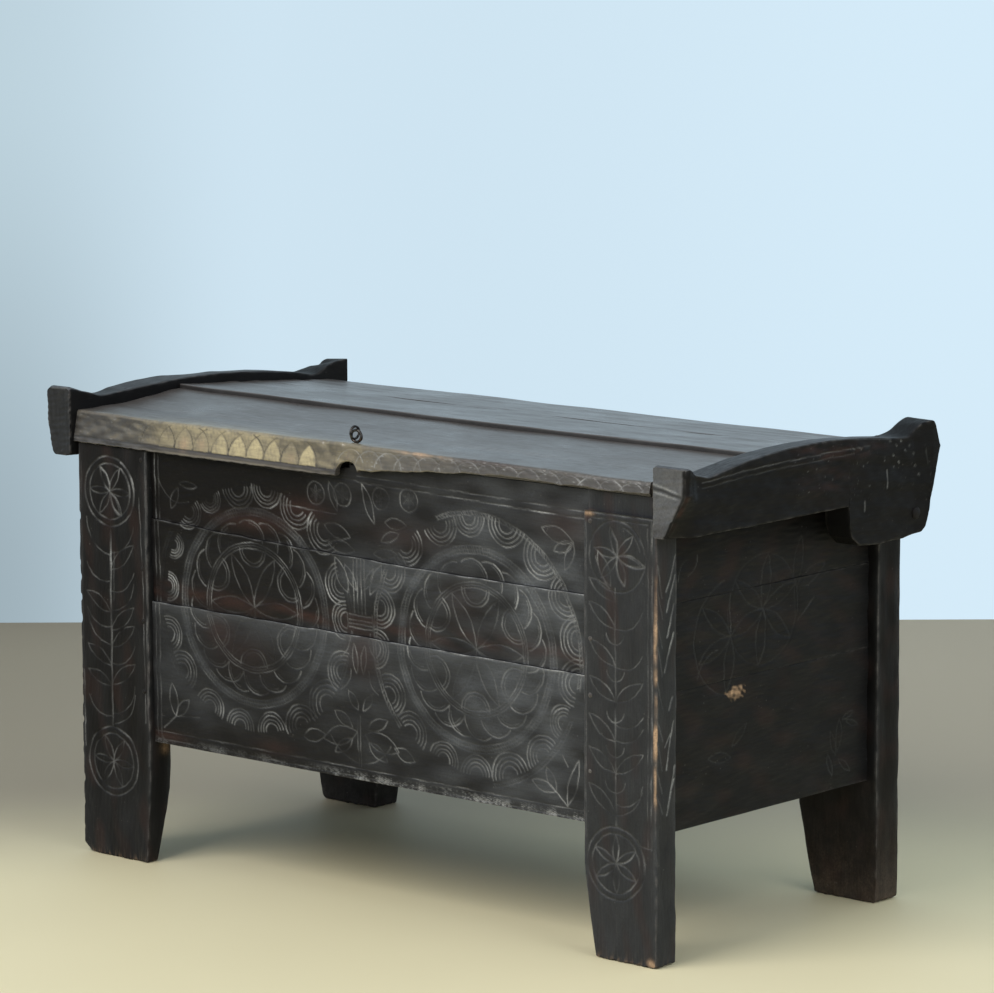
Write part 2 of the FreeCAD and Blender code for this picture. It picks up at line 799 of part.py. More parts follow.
def make_lid_middle():
    """Middle lid board: grooved for the front board's thin edge, thin at its own rear edge."""
    body = new_body("lid_board_middle")
    section = [
        (first_joint_y, first_step_top - dim.board_thick),
        *tongue_corners(second_joint_y, second_centre_z),
        (first_joint_y, first_step_top),
        *groove_corners(first_joint_y, first_centre_z),
    ]
    pad(body, "board", "YZ_Plane", -lid_reach_x, lid_reach_x, section)
    holes = [lid_peg_circle(side, middle_mid_y) for side in (LEFT, RIGHT)]
    pocket(body, "holes", "XY_Plane", lid_underside, arch_top, circles=holes)
    keep(body)


def make_lid_rear():
    """Rear lid board, which ends behind the back wall."""
    body = new_body("lid_board_rear")
    section = [
        (second_joint_y, second_step_top - dim.board_thick),
        (lid_rear_y, lid_rear_bottom),
        (lid_rear_y, lid_rear_top),
        (second_joint_y, second_step_top),
        *groove_corners(second_joint_y, second_centre_z),
    ]
    pad(body, "board", "YZ_Plane", -lid_reach_x, lid_reach_x, section)
    holes = [lid_peg_circle(side, rear_mid_y) for side in (LEFT, RIGHT)]
    pocket(body, "holes", "XY_Plane", lip_bottom, arch_top, circles=holes)
    keep(body)


# Outline of a cheek behind its arch, as shares of the lobe's depth and height, from the rear valley
# over the horn and down round the lobe to its front corner.
rear_horn_shares = {
    LEFT: [
        (0.835, 0.936), (0.909, 0.96), (0.95, 0.997), (0.988, 1.0), (1.0, 0.965), (1.0, 0.77),
        (0.95, 0.61), (0.8, 0.08),
        (0.76, 0.035), (0.57, 0.005), (0.3, 0.0), (0.12, 0.02), (0.045, 0.1), (0.01, 0.21),
    ],
    RIGHT: [
        (0.748, 0.912), (0.838, 0.966), (0.896, 1.0), (0.939, 0.983), (0.968, 0.938), (1.0, 0.757),
        (0.968, 0.599), (0.856, 0.078),
        (0.811, 0.035), (0.62, 0.005), (0.32, 0.0), (0.12, 0.02), (0.045, 0.1), (0.01, 0.21),
    ],
}
# Outline before the arch, as shares of the way from the front face to the valley and of the horn's rise.
front_horn_shares = [(0.0, 0.82), (0.1, 1.0), (0.28, 0.72), (0.62, 0.27)]


cheek_rear_y = {LEFT: half_depth + dim.left_rear_reach, RIGHT: half_depth + dim.right_rear_reach}
rear_horn_rises = {LEFT: dim.left_rear_horn_rise, RIGHT: dim.right_rear_horn_rise}
front_flares = {LEFT: dim.left_front_flare, RIGHT: dim.right_front_flare}
rear_flares = {LEFT: dim.left_rear_flare, RIGHT: dim.right_rear_flare}
toe_insets = {LEFT: dim.left_toe_inset, RIGHT: dim.right_toe_inset}


def make_cheek(side):
    """End piece of the lid: arched between two horns, with a lobe behind that turns on the hinge pin."""
    body = new_body("lid_cheek_%s" % side_names[side])
    lobe_front_y = half_depth - dim.lobe_front_setback
    lobe_run = cheek_rear_y[side] - lobe_front_y
    lobe_rise = arch_valley + rear_horn_rises[side] - lobe_bottom
    front_run = arch_front_y - cheek_front_y
    outline = [(lobe_front_y, cheek_bottom), (cheek_front_y, cheek_bottom)]
    outline += [(cheek_front_y + front_run * along, arch_valley + dim.front_horn_rise * up)
                for along, up in front_horn_shares]
    outline += [(arch_front_y, arch_valley), Arc(arch_rear_y[side], arch_valley, arch_radius(side), 1)]
    outline += [(lobe_front_y + lobe_run * along, lobe_bottom + lobe_rise * up)
                for along, up in rear_horn_shares[side]]
    face_x = (cheek_outer + front_flares[side]) * side
    plain_x = cheek_outer * side
    rear_x = (cheek_outer + rear_flares[side]) * side
    beyond_x = face_x + dim.overrun * side
    pad(body, "plank", "YZ_Plane", *ordered(cheek_inner * side, face_x), outline)
    hollow_front_y = -half_depth + dim.flare_inset
    hollow_rear_y = half_depth - dim.flare_inset
    hewn = [
        (plain_x, hollow_front_y),
        (face_x, hollow_front_y - dim.flare_run),
        (beyond_x, hollow_front_y - dim.flare_run),
        (beyond_x, cheek_rear_y[side] + dim.overrun),
        (rear_x, cheek_rear_y[side] + dim.overrun),
        (rear_x, hollow_rear_y + dim.flare_run),
        (plain_x, hollow_rear_y),
    ]
    pocket(body, "hewn_face", "XY_Plane", lobe_bottom - dim.overrun,
           arch_top + dim.overrun, hewn)
    toe_x = plain_x - toe_insets[side] * side
    toe = [
        (toe_x, cheek_bottom),
        (toe_x, cheek_bottom - dim.overrun),
        (beyond_x, cheek_bottom - dim.overrun),
        (beyond_x, lid_underside + dim.flare_rise),
        (face_x, lid_underside + dim.flare_rise),
    ]
    pocket(body, "toe", "XZ_Plane", cheek_front_y - dim.overrun, hollow_front_y, toe)
    gap = dim.fit_gap
    seat = [
        (tenon_front_y - gap, lid_underside - gap),
        (first_joint_y - gap, first_joint_top - dim.board_thin - gap),
        (first_joint_y - gap, first_step_top - dim.board_thick - gap),
        (second_joint_y - gap, second_joint_top - dim.board_thin - gap),
        (second_joint_y - gap, second_step_top - dim.board_thick - gap),
        (lid_rear_y + gap, lid_rear_bottom - gap),
        (lid_rear_y + gap, lid_rear_top + gap),
        (second_joint_y - gap, second_step_top + gap),
        (second_joint_y - gap, second_joint_top + gap),
        (first_joint_y - gap, first_step_top + gap),
        (first_joint_y - gap, first_joint_top + gap),
        (lid_flat_y, lid_front_top + gap),
        (tenon_front_y - gap, lid_front_top + gap),
    ]
    pocket(body, "board_seat", "YZ_Plane",
           *ordered((cheek_inner - dim.overrun) * side, (cheek_inner + dim.cheek_housing) * side), seat)
    pocket(body, "pin_bore", "YZ_Plane",
           *ordered((cheek_inner - dim.overrun) * side, beyond_x),
           circles=[Circle(hinge_y, pin_height, dim.pin_radius + dim.pin_clearance)])
    for name, along, underside in lid_pegs:
        pocket(body, "peg_hole_" + name, "XY_Plane", underside - dim.lid_peg_bite,
               arch_top + dim.overrun, circles=[lid_peg_circle(side, along)])
    keep(body)


make_lid_front()
make_lid_middle()
make_lid_rear()
for side in (LEFT, RIGHT):
    make_cheek(side)


# Pegs and hinge pins

def place_at(thing, rotation, base):
    """Turn an object from its Z axis and stand it at a base place."""
    thing.Placement = Placement(Vector(0, 0, 0), rotation)
    for letter, formula in zip("xyz", base):
        bind(thing, "Placement.Base." + letter, formula)


def cylinder(label, radius, height, rotation, base):
    """Round rod of a radius and height, from its base place along the turned Z axis."""
    rod = doc.addObject("Part::Cylinder", label)
    rod.Label = label
    bind(rod, "Radius", radius)
    bind(rod, "Height", height)
    place_at(rod, rotation, base)
    return rod


along_x = Rotation(Vector(0, 1, 0), 90)
along_y = Rotation(Vector(1, 0, 0), -90)
upright = Rotation()


def group(label, rods):
    """Several separate rods as one sub-part."""
    compound = doc.addObject("Part::Compound", label)
    compound.Label = label
    compound.Links = rods
    keep(compound)


def make_board_pegs(side, wall):
    """The pegs that hold the wall boards' ends in one post."""
    thickness = dim.front_post_thickness if wall == FRONT else dim.back_post_thickness
    outer_y = (half_depth + dim.board_peg_proud) * wall
    inner_y = (half_depth - thickness + dim.peg_back_wall) * wall
    low_y, high_y = ordered(outer_y, inner_y)
    label = "board_pegs_%s_%s" % (wall_names[wall], side_names[side])
    rods = [cylinder("%s_%d" % (label, index), dim.board_peg_radius, high_y - low_y, along_y,
                     (place.point[0], low_y, place.point[1]))
            for index, place in enumerate(peg_places(side, wall), start=1)]
    group(label, rods)


def make_lid_pegs(side):
    """The pegs driven down through one cheek and the lid boards' ends."""
    label = "lid_pegs_%s" % side_names[side]
    rods = []
    for name, along, underside in lid_pegs:
        foot = underside - dim.lid_peg_bite
        head = arch_height(side, along) + dim.lid_peg_proud
        x = (cheek_inner + dim.lid_peg_inset) * side
        rods.append(cylinder("%s_%s" % (label, name), dim.lid_peg_radius, head - foot, upright,
                             (x, along, foot)))
    group(label, rods)


def make_hinge_pin(side):
    """Wooden pin fixed in the back post, on which the cheek turns."""
    low_x, high_x = ordered((half_length - dim.pin_depth) * side, (cheek_outer + dim.pin_proud) * side)
    pin = cylinder("hinge_pin_%s" % side_names[side], dim.pin_radius, high_x - low_x, along_x,
                   (low_x, hinge_y, pin_height))
    keep(pin, low_x, hinge_y)


for wall in (FRONT, BACK):
    for side in (LEFT, RIGHT):
        make_board_pegs(side, wall)
for side in (LEFT, RIGHT):
    make_lid_pegs(side)
    make_hinge_pin(side)


# Iron eye and ring

def torus(label, radius, wire, rotation, base):
    """Round loop of wire about its centre, its axis turned from Z."""
    loop = doc.addObject("Part::Torus", label)
    loop.Label = label
    bind(loop, "Radius1", radius)
    bind(loop, "Radius2", wire)
    place_at(loop, rotation, base)
    return loop


def make_eye():
    """Eye of bent rod: a loop over the lid, a shank through the front board and a clenched end below."""
    centre_z = lid_front_top + dim.eye_lift + dim.eye_radius
    loop = torus("eye_loop", dim.eye_radius, dim.eye_wire, along_y, (dim.eye_x, eye_y, centre_z))
    shank = cylinder("eye_shank", dim.shank_radius, dim.shank_length, upright,
                     (dim.eye_x, eye_y, shank_foot))
    clench = cylinder("eye_clench", dim.clench_radius, dim.clench_length, along_x,
                      (clench_x, eye_y, shank_foot + dim.clench_radius))
    eye = doc.addObject("Part::MultiFuse", "ring_eye")
    eye.Label = "ring_eye"
    eye.Shapes = [loop, shank, clench]
    keep(eye)
    return centre_z + dim.eye_radius


def make_ring(bar_z):
    """Small ring hung over the top of the eye, drooping towards the front edge."""
    hang = dim.ring_radius - dim.ring_wire - dim.eye_wire - dim.ring_play
    offset = hang * dim.ring_droop_share
    ring_y = eye_y - offset
    ring = torus("pull_ring", dim.ring_radius, dim.ring_wire, along_x, (dim.eye_x, ring_y, bar_z - offset))
    keep(ring, dim.eye_x, ring_y)


make_ring(make_eye())


# Writing the parts

doc.recompute()
for body, feature in cuts:
    before = feature.BaseFeature.Shape.Volume
    if not feature.Shape.Volume < before:
        raise RuntimeError("%s cuts nothing" % feature.Name)
for thing in doc.Objects:
    if "Invalid" in thing.State or "Error" in thing.State:
        raise RuntimeError("%s failed: %s" % (thing.Name, thing.State))
for piece in pieces:
    if piece.Shape.isNull() or not piece.Shape.isValid():
        raise RuntimeError("%s has no valid shape" % piece.Label)
os.makedirs("parts", exist_ok=True)
for piece in pieces:
    piece.Shape.exportStep("parts/%s.step" % piece.Label)
print("%d sub-parts written" % len(pieces))
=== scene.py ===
import math

import bpy
import numpy as np
from mathutils import Matrix, Vector


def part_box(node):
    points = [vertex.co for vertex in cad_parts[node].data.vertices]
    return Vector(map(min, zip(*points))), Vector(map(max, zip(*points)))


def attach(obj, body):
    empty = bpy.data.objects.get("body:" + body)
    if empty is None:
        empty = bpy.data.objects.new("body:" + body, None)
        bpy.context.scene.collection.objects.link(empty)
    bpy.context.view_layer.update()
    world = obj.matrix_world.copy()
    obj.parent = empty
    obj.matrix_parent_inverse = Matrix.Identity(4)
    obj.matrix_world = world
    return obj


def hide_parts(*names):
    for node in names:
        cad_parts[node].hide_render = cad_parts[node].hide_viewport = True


bl_info = {
    "name": "Carved storage chest",
    "version": (1, 0, 0),
    "blender": (4, 5, 0),
    "location": "View3D > Sidebar > Chest",
    "description": "Dresses the packed chest in carved boards, hewn posts, pegs and iron, and sets its stage",
    "category": "Object",
}

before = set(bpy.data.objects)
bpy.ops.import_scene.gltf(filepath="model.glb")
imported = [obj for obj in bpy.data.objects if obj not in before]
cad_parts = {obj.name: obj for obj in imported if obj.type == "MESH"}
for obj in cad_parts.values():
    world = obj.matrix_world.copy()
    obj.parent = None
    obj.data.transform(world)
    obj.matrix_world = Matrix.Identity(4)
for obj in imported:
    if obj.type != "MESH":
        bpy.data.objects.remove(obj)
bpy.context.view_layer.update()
MM = 0.001


# Places. All lengths below are millimetres in the carcass's own axes: X along the chest, -Y its front, Z up.

def corners_of(node):
    """Lowest and highest corner of a CAD node in millimetres."""
    low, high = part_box(node)
    return np.array(low) / MM, np.array(high) / MM


POST_BOX = {name: corners_of("post_" + name) for name in ("front_left", "front_right", "back_left", "back_right")}
SHIFT = np.array([
    (POST_BOX["back_left"][0][0] + POST_BOX["back_right"][1][0]) / 2,
    (POST_BOX["front_left"][0][1] + POST_BOX["back_left"][1][1]) / 2,
    0.0,
])
HALF_LENGTH = (POST_BOX["front_right"][1][0] - POST_BOX["front_left"][0][0]) / 2
HALF_DEPTH = (POST_BOX["back_left"][1][1] - POST_BOX["front_left"][0][1]) / 2
LEFT, RIGHT = -1, 1
SIDE_NAME = {LEFT: "left", RIGHT: "right"}
PANEL_Y = -HALF_DEPTH + 9
END_X = HALF_LENGTH - 19
SHOULDER = 670.0
PANEL_LOW, PANEL_HIGH = 199.0, 699.5
INNER_X = {
    ("front", LEFT): POST_BOX["front_left"][1][0] - SHIFT[0],
    ("front", RIGHT): POST_BOX["front_right"][0][0] - SHIFT[0],
    ("back", LEFT): POST_BOX["back_left"][1][0] - SHIFT[0],
    ("back", RIGHT): POST_BOX["back_right"][0][0] - SHIFT[0],
}
FRONT_INNER_Y = -HALF_DEPTH + 46
BACK_INNER_Y = HALF_DEPTH - 56
JOINTS_LEFT, JOINTS_RIGHT = (428.0, 562.0), (421.0, 542.0)
CHEEK_IN, CHEEK_OUT = HALF_LENGTH + 4, HALF_LENGTH + 50
LIP_Y, LIP_BACK_Y, LIP_LOW, LID_UNDER = -HALF_DEPTH - 7, -HALF_DEPTH + 6, 672.0, 700.0
FIRST_JOINT_Y, SECOND_JOINT_Y, LID_REAR_Y = -60.0, 130.0, HALF_DEPTH + 6
PIN_Y, PIN_Z = HALF_DEPTH - 32, 616.0


def share(value, low, high):
    """How far value lies from low to high, held between 0 and 1."""
    return np.clip((value - low) / (high - low), 0.0, 1.0)


def ease(t):
    """Smooth step of t: 3t^2 - 2t^3."""
    return t * t * (3 - 2 * t)


def hewn(seed, a, b, long_pitch, short_pitch, count=9):
    """Unevenness of hand-hewn wood, about -1 to 1: a sum of cosines of (a / long pitch, b / short pitch)
    along seeded directions, with seeded phases."""
    rng = np.random.default_rng(seed)
    total = np.zeros(np.broadcast(a, b).shape)
    for turn, phase, pace in zip(rng.uniform(0, math.tau, count), rng.uniform(0, math.tau, count),
                                 rng.uniform(0.6, 1.8, count)):
        total = total + np.cos(math.tau * pace * (a / long_pitch * math.cos(turn) + b / short_pitch * math.sin(turn))
                               + phase)
    return np.clip(total / math.sqrt(count), -1.5, 1.5)


def spots(a, b, *places):
    """Sum of soft ovals, each (middle a, middle b, reach a, reach b, strength): strength * exp(-r^2)."""
    return sum(strength * np.exp(-((a - p) / reach) ** 2 - ((b - q) / tall) ** 2) for p, q, reach, tall,
               strength in places)


def steps(low, high, pitch, edge=2.5):
    """Places from low to high about one pitch apart, closer together within the edge distance of both ends."""
    near = np.array([0.0, 0.16, 0.42, 0.72]) * edge
    count = max(int(round((high - low - 2 * edge) / pitch)), 1)
    middle = np.linspace(low + edge, high - edge, count + 1)
    return np.concatenate([low + near, middle, (high - near)[::-1]])


# Carving: strokes are cut into a raster of a face, and the face's points read their depth and lightness from it. The
# lightness is partly worn pale wood and partly painted highlight where light catches the cuts.

class Chisel:
    """Collects the strokes cut into one face as short straight runs, each with a half width and a lightness."""

    def __init__(self, seed):
        self.rng = np.random.default_rng(seed)
        self.starts, self.ends, self.widths, self.lights = [], [], [], []

    def stroke(self, points, width=0.95, light=1.0, spread=0.45):
        """One stroke through the points, wandering a little as a hand-held tool does: each point moves by a seeded sum
        of two cosines of its place along the stroke. Upright runs are painted the lightest, a painted highlight for
        light catching the sides of upright cuts."""
        points = np.asarray(points, float)
        lengths = np.hypot(*np.diff(points, axis=0).T)
        along = np.concatenate([[0.0], np.cumsum(lengths)])
        count = max(int(along[-1] / 2.0), 1) + 1
        at = np.linspace(0, along[-1], count)
        p = np.stack([np.interp(at, along, points[:, 0]), np.interp(at, along, points[:, 1])], 1)
        phase = self.rng.uniform(0, math.tau, 4)
        p[:, 0] += 0.35 * np.cos(at / 9 + phase[0]) + 0.2 * np.cos(at / 3.1 + phase[1])
        p[:, 1] += 0.35 * np.cos(at / 8 + phase[2]) + 0.2 * np.cos(at / 2.7 + phase[3])
        run = np.diff(p, axis=0)
        upright = np.abs(run[:, 1]) / np.maximum(np.hypot(*run.T), 1e-6)
        tone = light * (1 - spread * self.rng.uniform()) * (1 + 0.3 * np.cos(at[:-1] / 11 + phase[1])) * (0.7
                + 0.3 * upright)
        self.starts.append(p[:-1])
        self.ends.append(p[1:])
        self.widths.append(np.full(count - 1, width))
        self.lights.append(np.clip(tone, 0, 1.3))

    def arc(self, x, z, radius, low=0.0, high=360.0, **how):
        """Part of a circle, from the low to the high angle in degrees."""
        turn = np.radians(np.linspace(low, high, max(int(abs(high - low) * radius / 110), 3)))
        self.stroke(np.stack([x + radius * np.cos(turn), z + radius * np.sin(turn)], 1), **how)

    def line(self, *places, **how):
        """Straight runs through the places."""
        self.stroke(places, **how)

    def bow(self, start, end, bulge, **how):
        """A curved stroke from start to end whose middle stands off the chord by the bulge share of its length:
        the chord plus bulge * 4t(1 - t) along its normal."""
        start, end = np.asarray(start, float), np.asarray(end, float)
        t = np.linspace(0, 1, 12)[:, None]
        run = end - start
        self.stroke(start + run * t + np.array([-run[1], run[0]]) * bulge * 4 * t * (1 - t), **how)

    def leaf(self, start, end, bulge=0.2, vein=False, **how):
        """A pointed oval: two bows that bulge to opposite sides."""
        self.bow(start, end, bulge, **how)
        self.bow(start, end, -bulge, **how)
        if vein:
            self.bow(start, end, 0.0, **dict(how, width=0.8, light=how.get("light", 1.0) * 0.6))

    def nest(self, x, z, towards, radii, **how):
        """Half circles one in another round a place, bulging towards another place."""
        middle = math.degrees(math.atan2(towards[1] - z, towards[0] - x))
        for radius in radii:
            self.arc(x, z, radius, middle - 88, middle + 88, **how)

    def petals(self, x, z, radius, first, width=1.1, light=1.0, count=6):
        """Six petals, their sides arcs of the circle's own radius round places on the circle. light is one
        lightness, or one for each petal."""
        for k in range(count):
            turn = math.radians(first + 60 * k)
            tip = (x + radius * math.cos(turn), z + radius * math.sin(turn))
            self.leaf((x, z), tip, 0.134, width=width, light=light[k] if np.ndim(light) else light)

    def grains(self, x, z, radius, low, high, pitch, reach, **how):
        """Short cuts across a circle, as on a hatched band."""
        for turn in np.arange(low, high, math.degrees(pitch / radius)):
            a = math.radians(turn + self.rng.uniform(-0.4, 0.4))
            inner, outer = radius - reach / 2, radius + reach / 2
            self.stroke([(x + inner * math.cos(a), z + inner * math.sin(a)),
                         (x + outer * math.cos(a + 0.02), z + outer * math.sin(a + 0.02))], **how)

    def cut(self, low, high, pitch=0.7):
        """Cuts the strokes into a raster between two corners. At a distance d from a stroke of half width w the
        lightness is 1.35 - d / w, and the depth w * 0.85 * (1 - d / 1.35w), both held at 0 or above; where strokes
        cross the larger holds."""
        low, high = np.asarray(low, float), np.asarray(high, float)
        size = np.ceil((high - low) / pitch).astype(int) + 2
        light, depth = np.zeros(size), np.zeros(size)
        p, q = np.concatenate(self.starts), np.concatenate(self.ends)
        w, g = np.concatenate(self.widths), np.concatenate(self.lights)
        base = np.round(((p + q) / 2 - low) / pitch).astype(int)
        run = q - p
        long = np.maximum((run ** 2).sum(1), 1e-9)
        reach = int(math.ceil((1.1 + 1.4 * w.max()) / pitch))
        for di in range(-reach, reach + 1):
            for dj in range(-reach, reach + 1):
                cell = base + (di, dj)
                inside = ((cell >= 0) & (cell < size)).all(1)
                c = cell[inside]
                away = low + c * pitch - p[inside]
                t = np.clip((away * run[inside]).sum(1) / long[inside], 0, 1)
                d = np.hypot(*(away - run[inside] * t[:, None]).T) / w[inside]
                np.maximum.at(light, (c[:, 0], c[:, 1]), np.clip(1.35 - d, 0, 1) * g[inside])
                np.maximum.at(depth, (c[:, 0], c[:, 1]), np.clip(1 - d / 1.35, 0, 1) * 0.85 * w[inside])

        def read(a, b):
            """Depth and lightness at places on the face, weighted from the four nearest cells."""
            i, j = (a - low[0]) / pitch, (b - low[1]) / pitch
            inside = (i >= 0) & (j >= 0) & (i < size[0] - 1) & (j < size[1] - 1)
            i, j = np.clip(i, 0, size[0] - 1.001), np.clip(j, 0, size[1] - 1.001)
            i0, j0 = i.astype(int), j.astype(int)
            fi, fj = i - i0, j - j0

            def blend(raster):
                lower = raster[i0, j0] * (1 - fi) + raster[i0 + 1, j0] * fi
                upper = raster[i0, j0 + 1] * (1 - fi) + raster[i0 + 1, j0 + 1] * fi
                return (lower * (1 - fj) + upper * fj) * inside
            return blend(depth), blend(light)
        return read


# Surfaces

def rounded_outline(corners, counts, radii):
    """Closed cross-sections with eased corners. corners is stations x corners x 2. Each side keeps a straight run
    split into its count of steps, and each corner is a quadratic curve whose control point is the corner.
    Returns the points, stations x points x 2, each point's side (-1 on a corner) and its distance to a corner."""
    corners = np.asarray(corners, float)
    after = np.roll(corners, -1, axis=1)
    length = np.maximum(np.linalg.norm(after - corners, axis=2, keepdims=True), 1e-6)
    along = (after - corners) / length
    number = corners.shape[1]
    ring, sides, near = [], [], []
    for k in range(number):
        r0 = np.minimum(radii[k], length[:, k] * 0.45)
        r1 = np.minimum(radii[(k + 1) % number], length[:, k] * 0.45)
        start, finish = corners[:, k] + along[:, k] * r0, after[:, k] - along[:, k] * r1
        for t in np.linspace(0, 1, counts[k] + 1):
            ring.append(start + (finish - start) * t)
            sides.append(k)
            near.append(np.minimum(np.linalg.norm(ring[-1] - corners[:, k], axis=1),
                                   np.linalg.norm(ring[-1] - after[:, k], axis=1)))
        k2 = (k + 1) % number
        r2 = np.minimum(radii[k2], length[:, k2] * 0.45)
        onward = corners[:, k2] + along[:, k2] * r2
        for t in (0.33, 0.67):
            ring.append(finish * (1 - t) ** 2 + corners[:, k2] * 2 * t * (1 - t) + onward * t * t)
            sides.append(-1)
            near.append(np.zeros(len(corners)))
    return np.stack(ring, 1), np.array(sides), np.stack(near, 1)


def skin(loops):
    """Faces of a closed profile carried through its stations: a quad between each pair of neighbours on
    successive stations, and one flat face over each end."""
    stations, points = loops.shape[:2]
    index = np.arange(stations * points).reshape(stations, points)
    beside = np.roll(index, -1, axis=1)
    quads = np.stack([index[:-1], beside[:-1], beside[1:], index[1:]], -1).reshape(-1, 4)
    return [quads, index[:1, ::-1], index[-1:]]


def shell(a, b, c):
    """Points and quads on the six sides of a lattice with the given places along its three ways.
    Returns the lattice places of the points, and the faces."""
    grid = np.zeros((len(a), len(b), len(c)), bool)
    grid[[0, -1]] = grid[:, [0, -1]] = grid[:, :, [0, -1]] = True
    index = np.full(grid.shape, -1)
    index[grid] = np.arange(grid.sum())
    faces = []
    for face, flip in ((index[0], True), (index[-1], False), (index[:, 0], False), (index[:, -1], True),
                       (index[:, :, 0], True), (index[:, :, -1], False)):
        quad = np.stack([face[:-1, :-1], face[1:, :-1], face[1:, 1:], face[:-1, 1:]], -1).reshape(-1, 4)
        faces.append(quad[:, ::-1] if flip else quad)
    i, j, k = np.nonzero(grid)
    return np.asarray(a)[i], np.asarray(b)[j], np.asarray(c)[k], [np.concatenate(faces)]


def make_piece(name, points, faces, marks, body, material, nodes, sharp=38.0, flat_ends=True):
    """Puts millimetre points and faces into a mesh at its place in the frame, turned outwards, with its named marks
    as point attributes, and lets it stand for its CAD nodes."""
    points = points.reshape(-1, 3)
    centred = points - points.mean(0)
    volume = 0.0
    for face in faces:
        for k in range(1, min(face.shape[1] - 1, 3)) if face.shape[1] == 4 else ():
            volume += np.einsum("ij,ij->i", centred[face[:, 0]],
                                np.cross(centred[face[:, k]], centred[face[:, k + 1]])).sum()
    if volume < 0:
        faces = [face[:, ::-1] for face in faces]
    mesh = bpy.data.meshes.new(name)
    mesh.vertices.add(len(points))
    mesh.vertices.foreach_set("co", ((points + SHIFT) * MM).astype(np.float32).ravel())
    sizes = np.concatenate([np.full(len(face), face.shape[1]) for face in faces])
    mesh.loops.add(int(sizes.sum()))
    mesh.loops.foreach_set("vertex_index", np.concatenate([face.ravel() for face in faces]).astype(np.int32))
    mesh.polygons.add(len(sizes))
    mesh.polygons.foreach_set("loop_start", np.concatenate([[0], np.cumsum(sizes)[:-1]]).astype(np.int32))
    mesh.update(calc_edges=True)
    mesh.shade_smooth()
    mesh.set_sharp_from_angle(angle=math.radians(sharp))
    if flat_ends:
        flat = mesh.attributes.get("sharp_face") or mesh.attributes.new("sharp_face", "BOOLEAN", "FACE")
        flat.data.foreach_set("value", sizes > 4)
    for mark, values in marks.items():
        attribute = mesh.attributes.new(mark, "FLOAT", "POINT")
        attribute.data.foreach_set("value", np.broadcast_to(values, points.shape[:1]).astype(np.float32)
                                   if np.ndim(values) < 2 else values.astype(np.float32).ravel())
    mesh.validate()
    mesh.materials.append(material)
    piece = bpy.data.objects.new(name, mesh)
    bpy.context.scene.collection.objects.link(piece)
    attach(piece, body)
    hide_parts(*nodes)
    return piece


# Carving of each face, in the face's own places: X and Z on the front, Y and Z on the ends.

LEFT_NESTS = [(-366, 580, 25), (-318, 607, 22), (-255, 630, 31), (-194, 635, 29), (-129, 613, 33), (-71, 581, 34),
              (-35, 502, 31), (-26, 446, 28), (-32, 365, 30), (-66, 309, 36), (-121, 268, 32), (-185, 251, 28),
              (-255, 249, 27), (-322, 271, 28), (-382, 323, 30), (-410, 379, 27), (-413, 456, 22), (-397, 524, 20)]
RIGHT_NESTS = [(227, 634, 28), (302, 631, 33), (371, 590, 34), (420, 534, 32), (443, 471, 34), (440, 406, 33),
               (415, 343, 26), (374, 287, 30), (309, 248, 34), (240, 240, 29), (174, 254, 27), (106, 287, 31),
               (63, 340, 31), (34, 409, 28), (43, 474, 29), (65, 534, 31), (97, 578, 31), (168, 617, 31)]


def carve_roundel(c, x, z, nests, petals, runs):
    """Great roundel: six petals in a ringed circle, a ring of overlapping scales, a grained band, and nests of
    half circles all round; the outer circle is left only in its runs, each from an angle to another one."""
    for radius, light in ((94, 0.7), (98.5, 0.35), (103, 0.75)):
        c.arc(x, z, radius, light=light, width=0.9)
    c.petals(x, z, 93, 0, light=petals)
    for k in range(6):
        turn = math.radians(30 + 60 * k)
        c.nest(x + 93 * math.cos(turn), z + 93 * math.sin(turn), (x, z), (28,), light=0.8, width=1.2)
        c.nest(x + 93 * math.cos(turn), z + 93 * math.sin(turn), (x, z), (22.5,), light=0.5, width=0.9)
    for k in range(20):
        turn = 18.0 * k + 6
        at = (x + 105 * math.cos(math.radians(turn)), z + 105 * math.sin(math.radians(turn)))
        fall = 1 if 100 < turn < 250 else -1
        c.arc(*at, 33, turn - 30 * fall, turn + 96 * fall, light=1.0, width=1.15)
        c.arc(*at, 28.5, turn + 6 * fall, turn + 84 * fall, light=0.35, width=0.8)
    for radius, light in ((146, 0.35), (152, 0.25), (158, 0.35)):
        c.arc(x, z, radius, light=light, width=1.0)
    c.grains(x, z, 152, 0, 360, 5.0, 11.0, light=0.16, width=0.9)
    for low, high, light in runs:
        for radius, part in ((204, 0.8), (210, 1.0)):
            c.arc(x, z, radius, low, high, light=light * part, width=0.9)
        c.grains(x, z, 207, low, high, 4.6, 5.0, light=0.6 * light, width=0.8)
    for nx, nz, radius in nests:
        for k, each in enumerate((1.08, 0.88, 0.67, 0.46)):
            c.nest(nx, nz, (x, z), (radius * each,), light=1.05 - 0.1 * k, width=1.1)


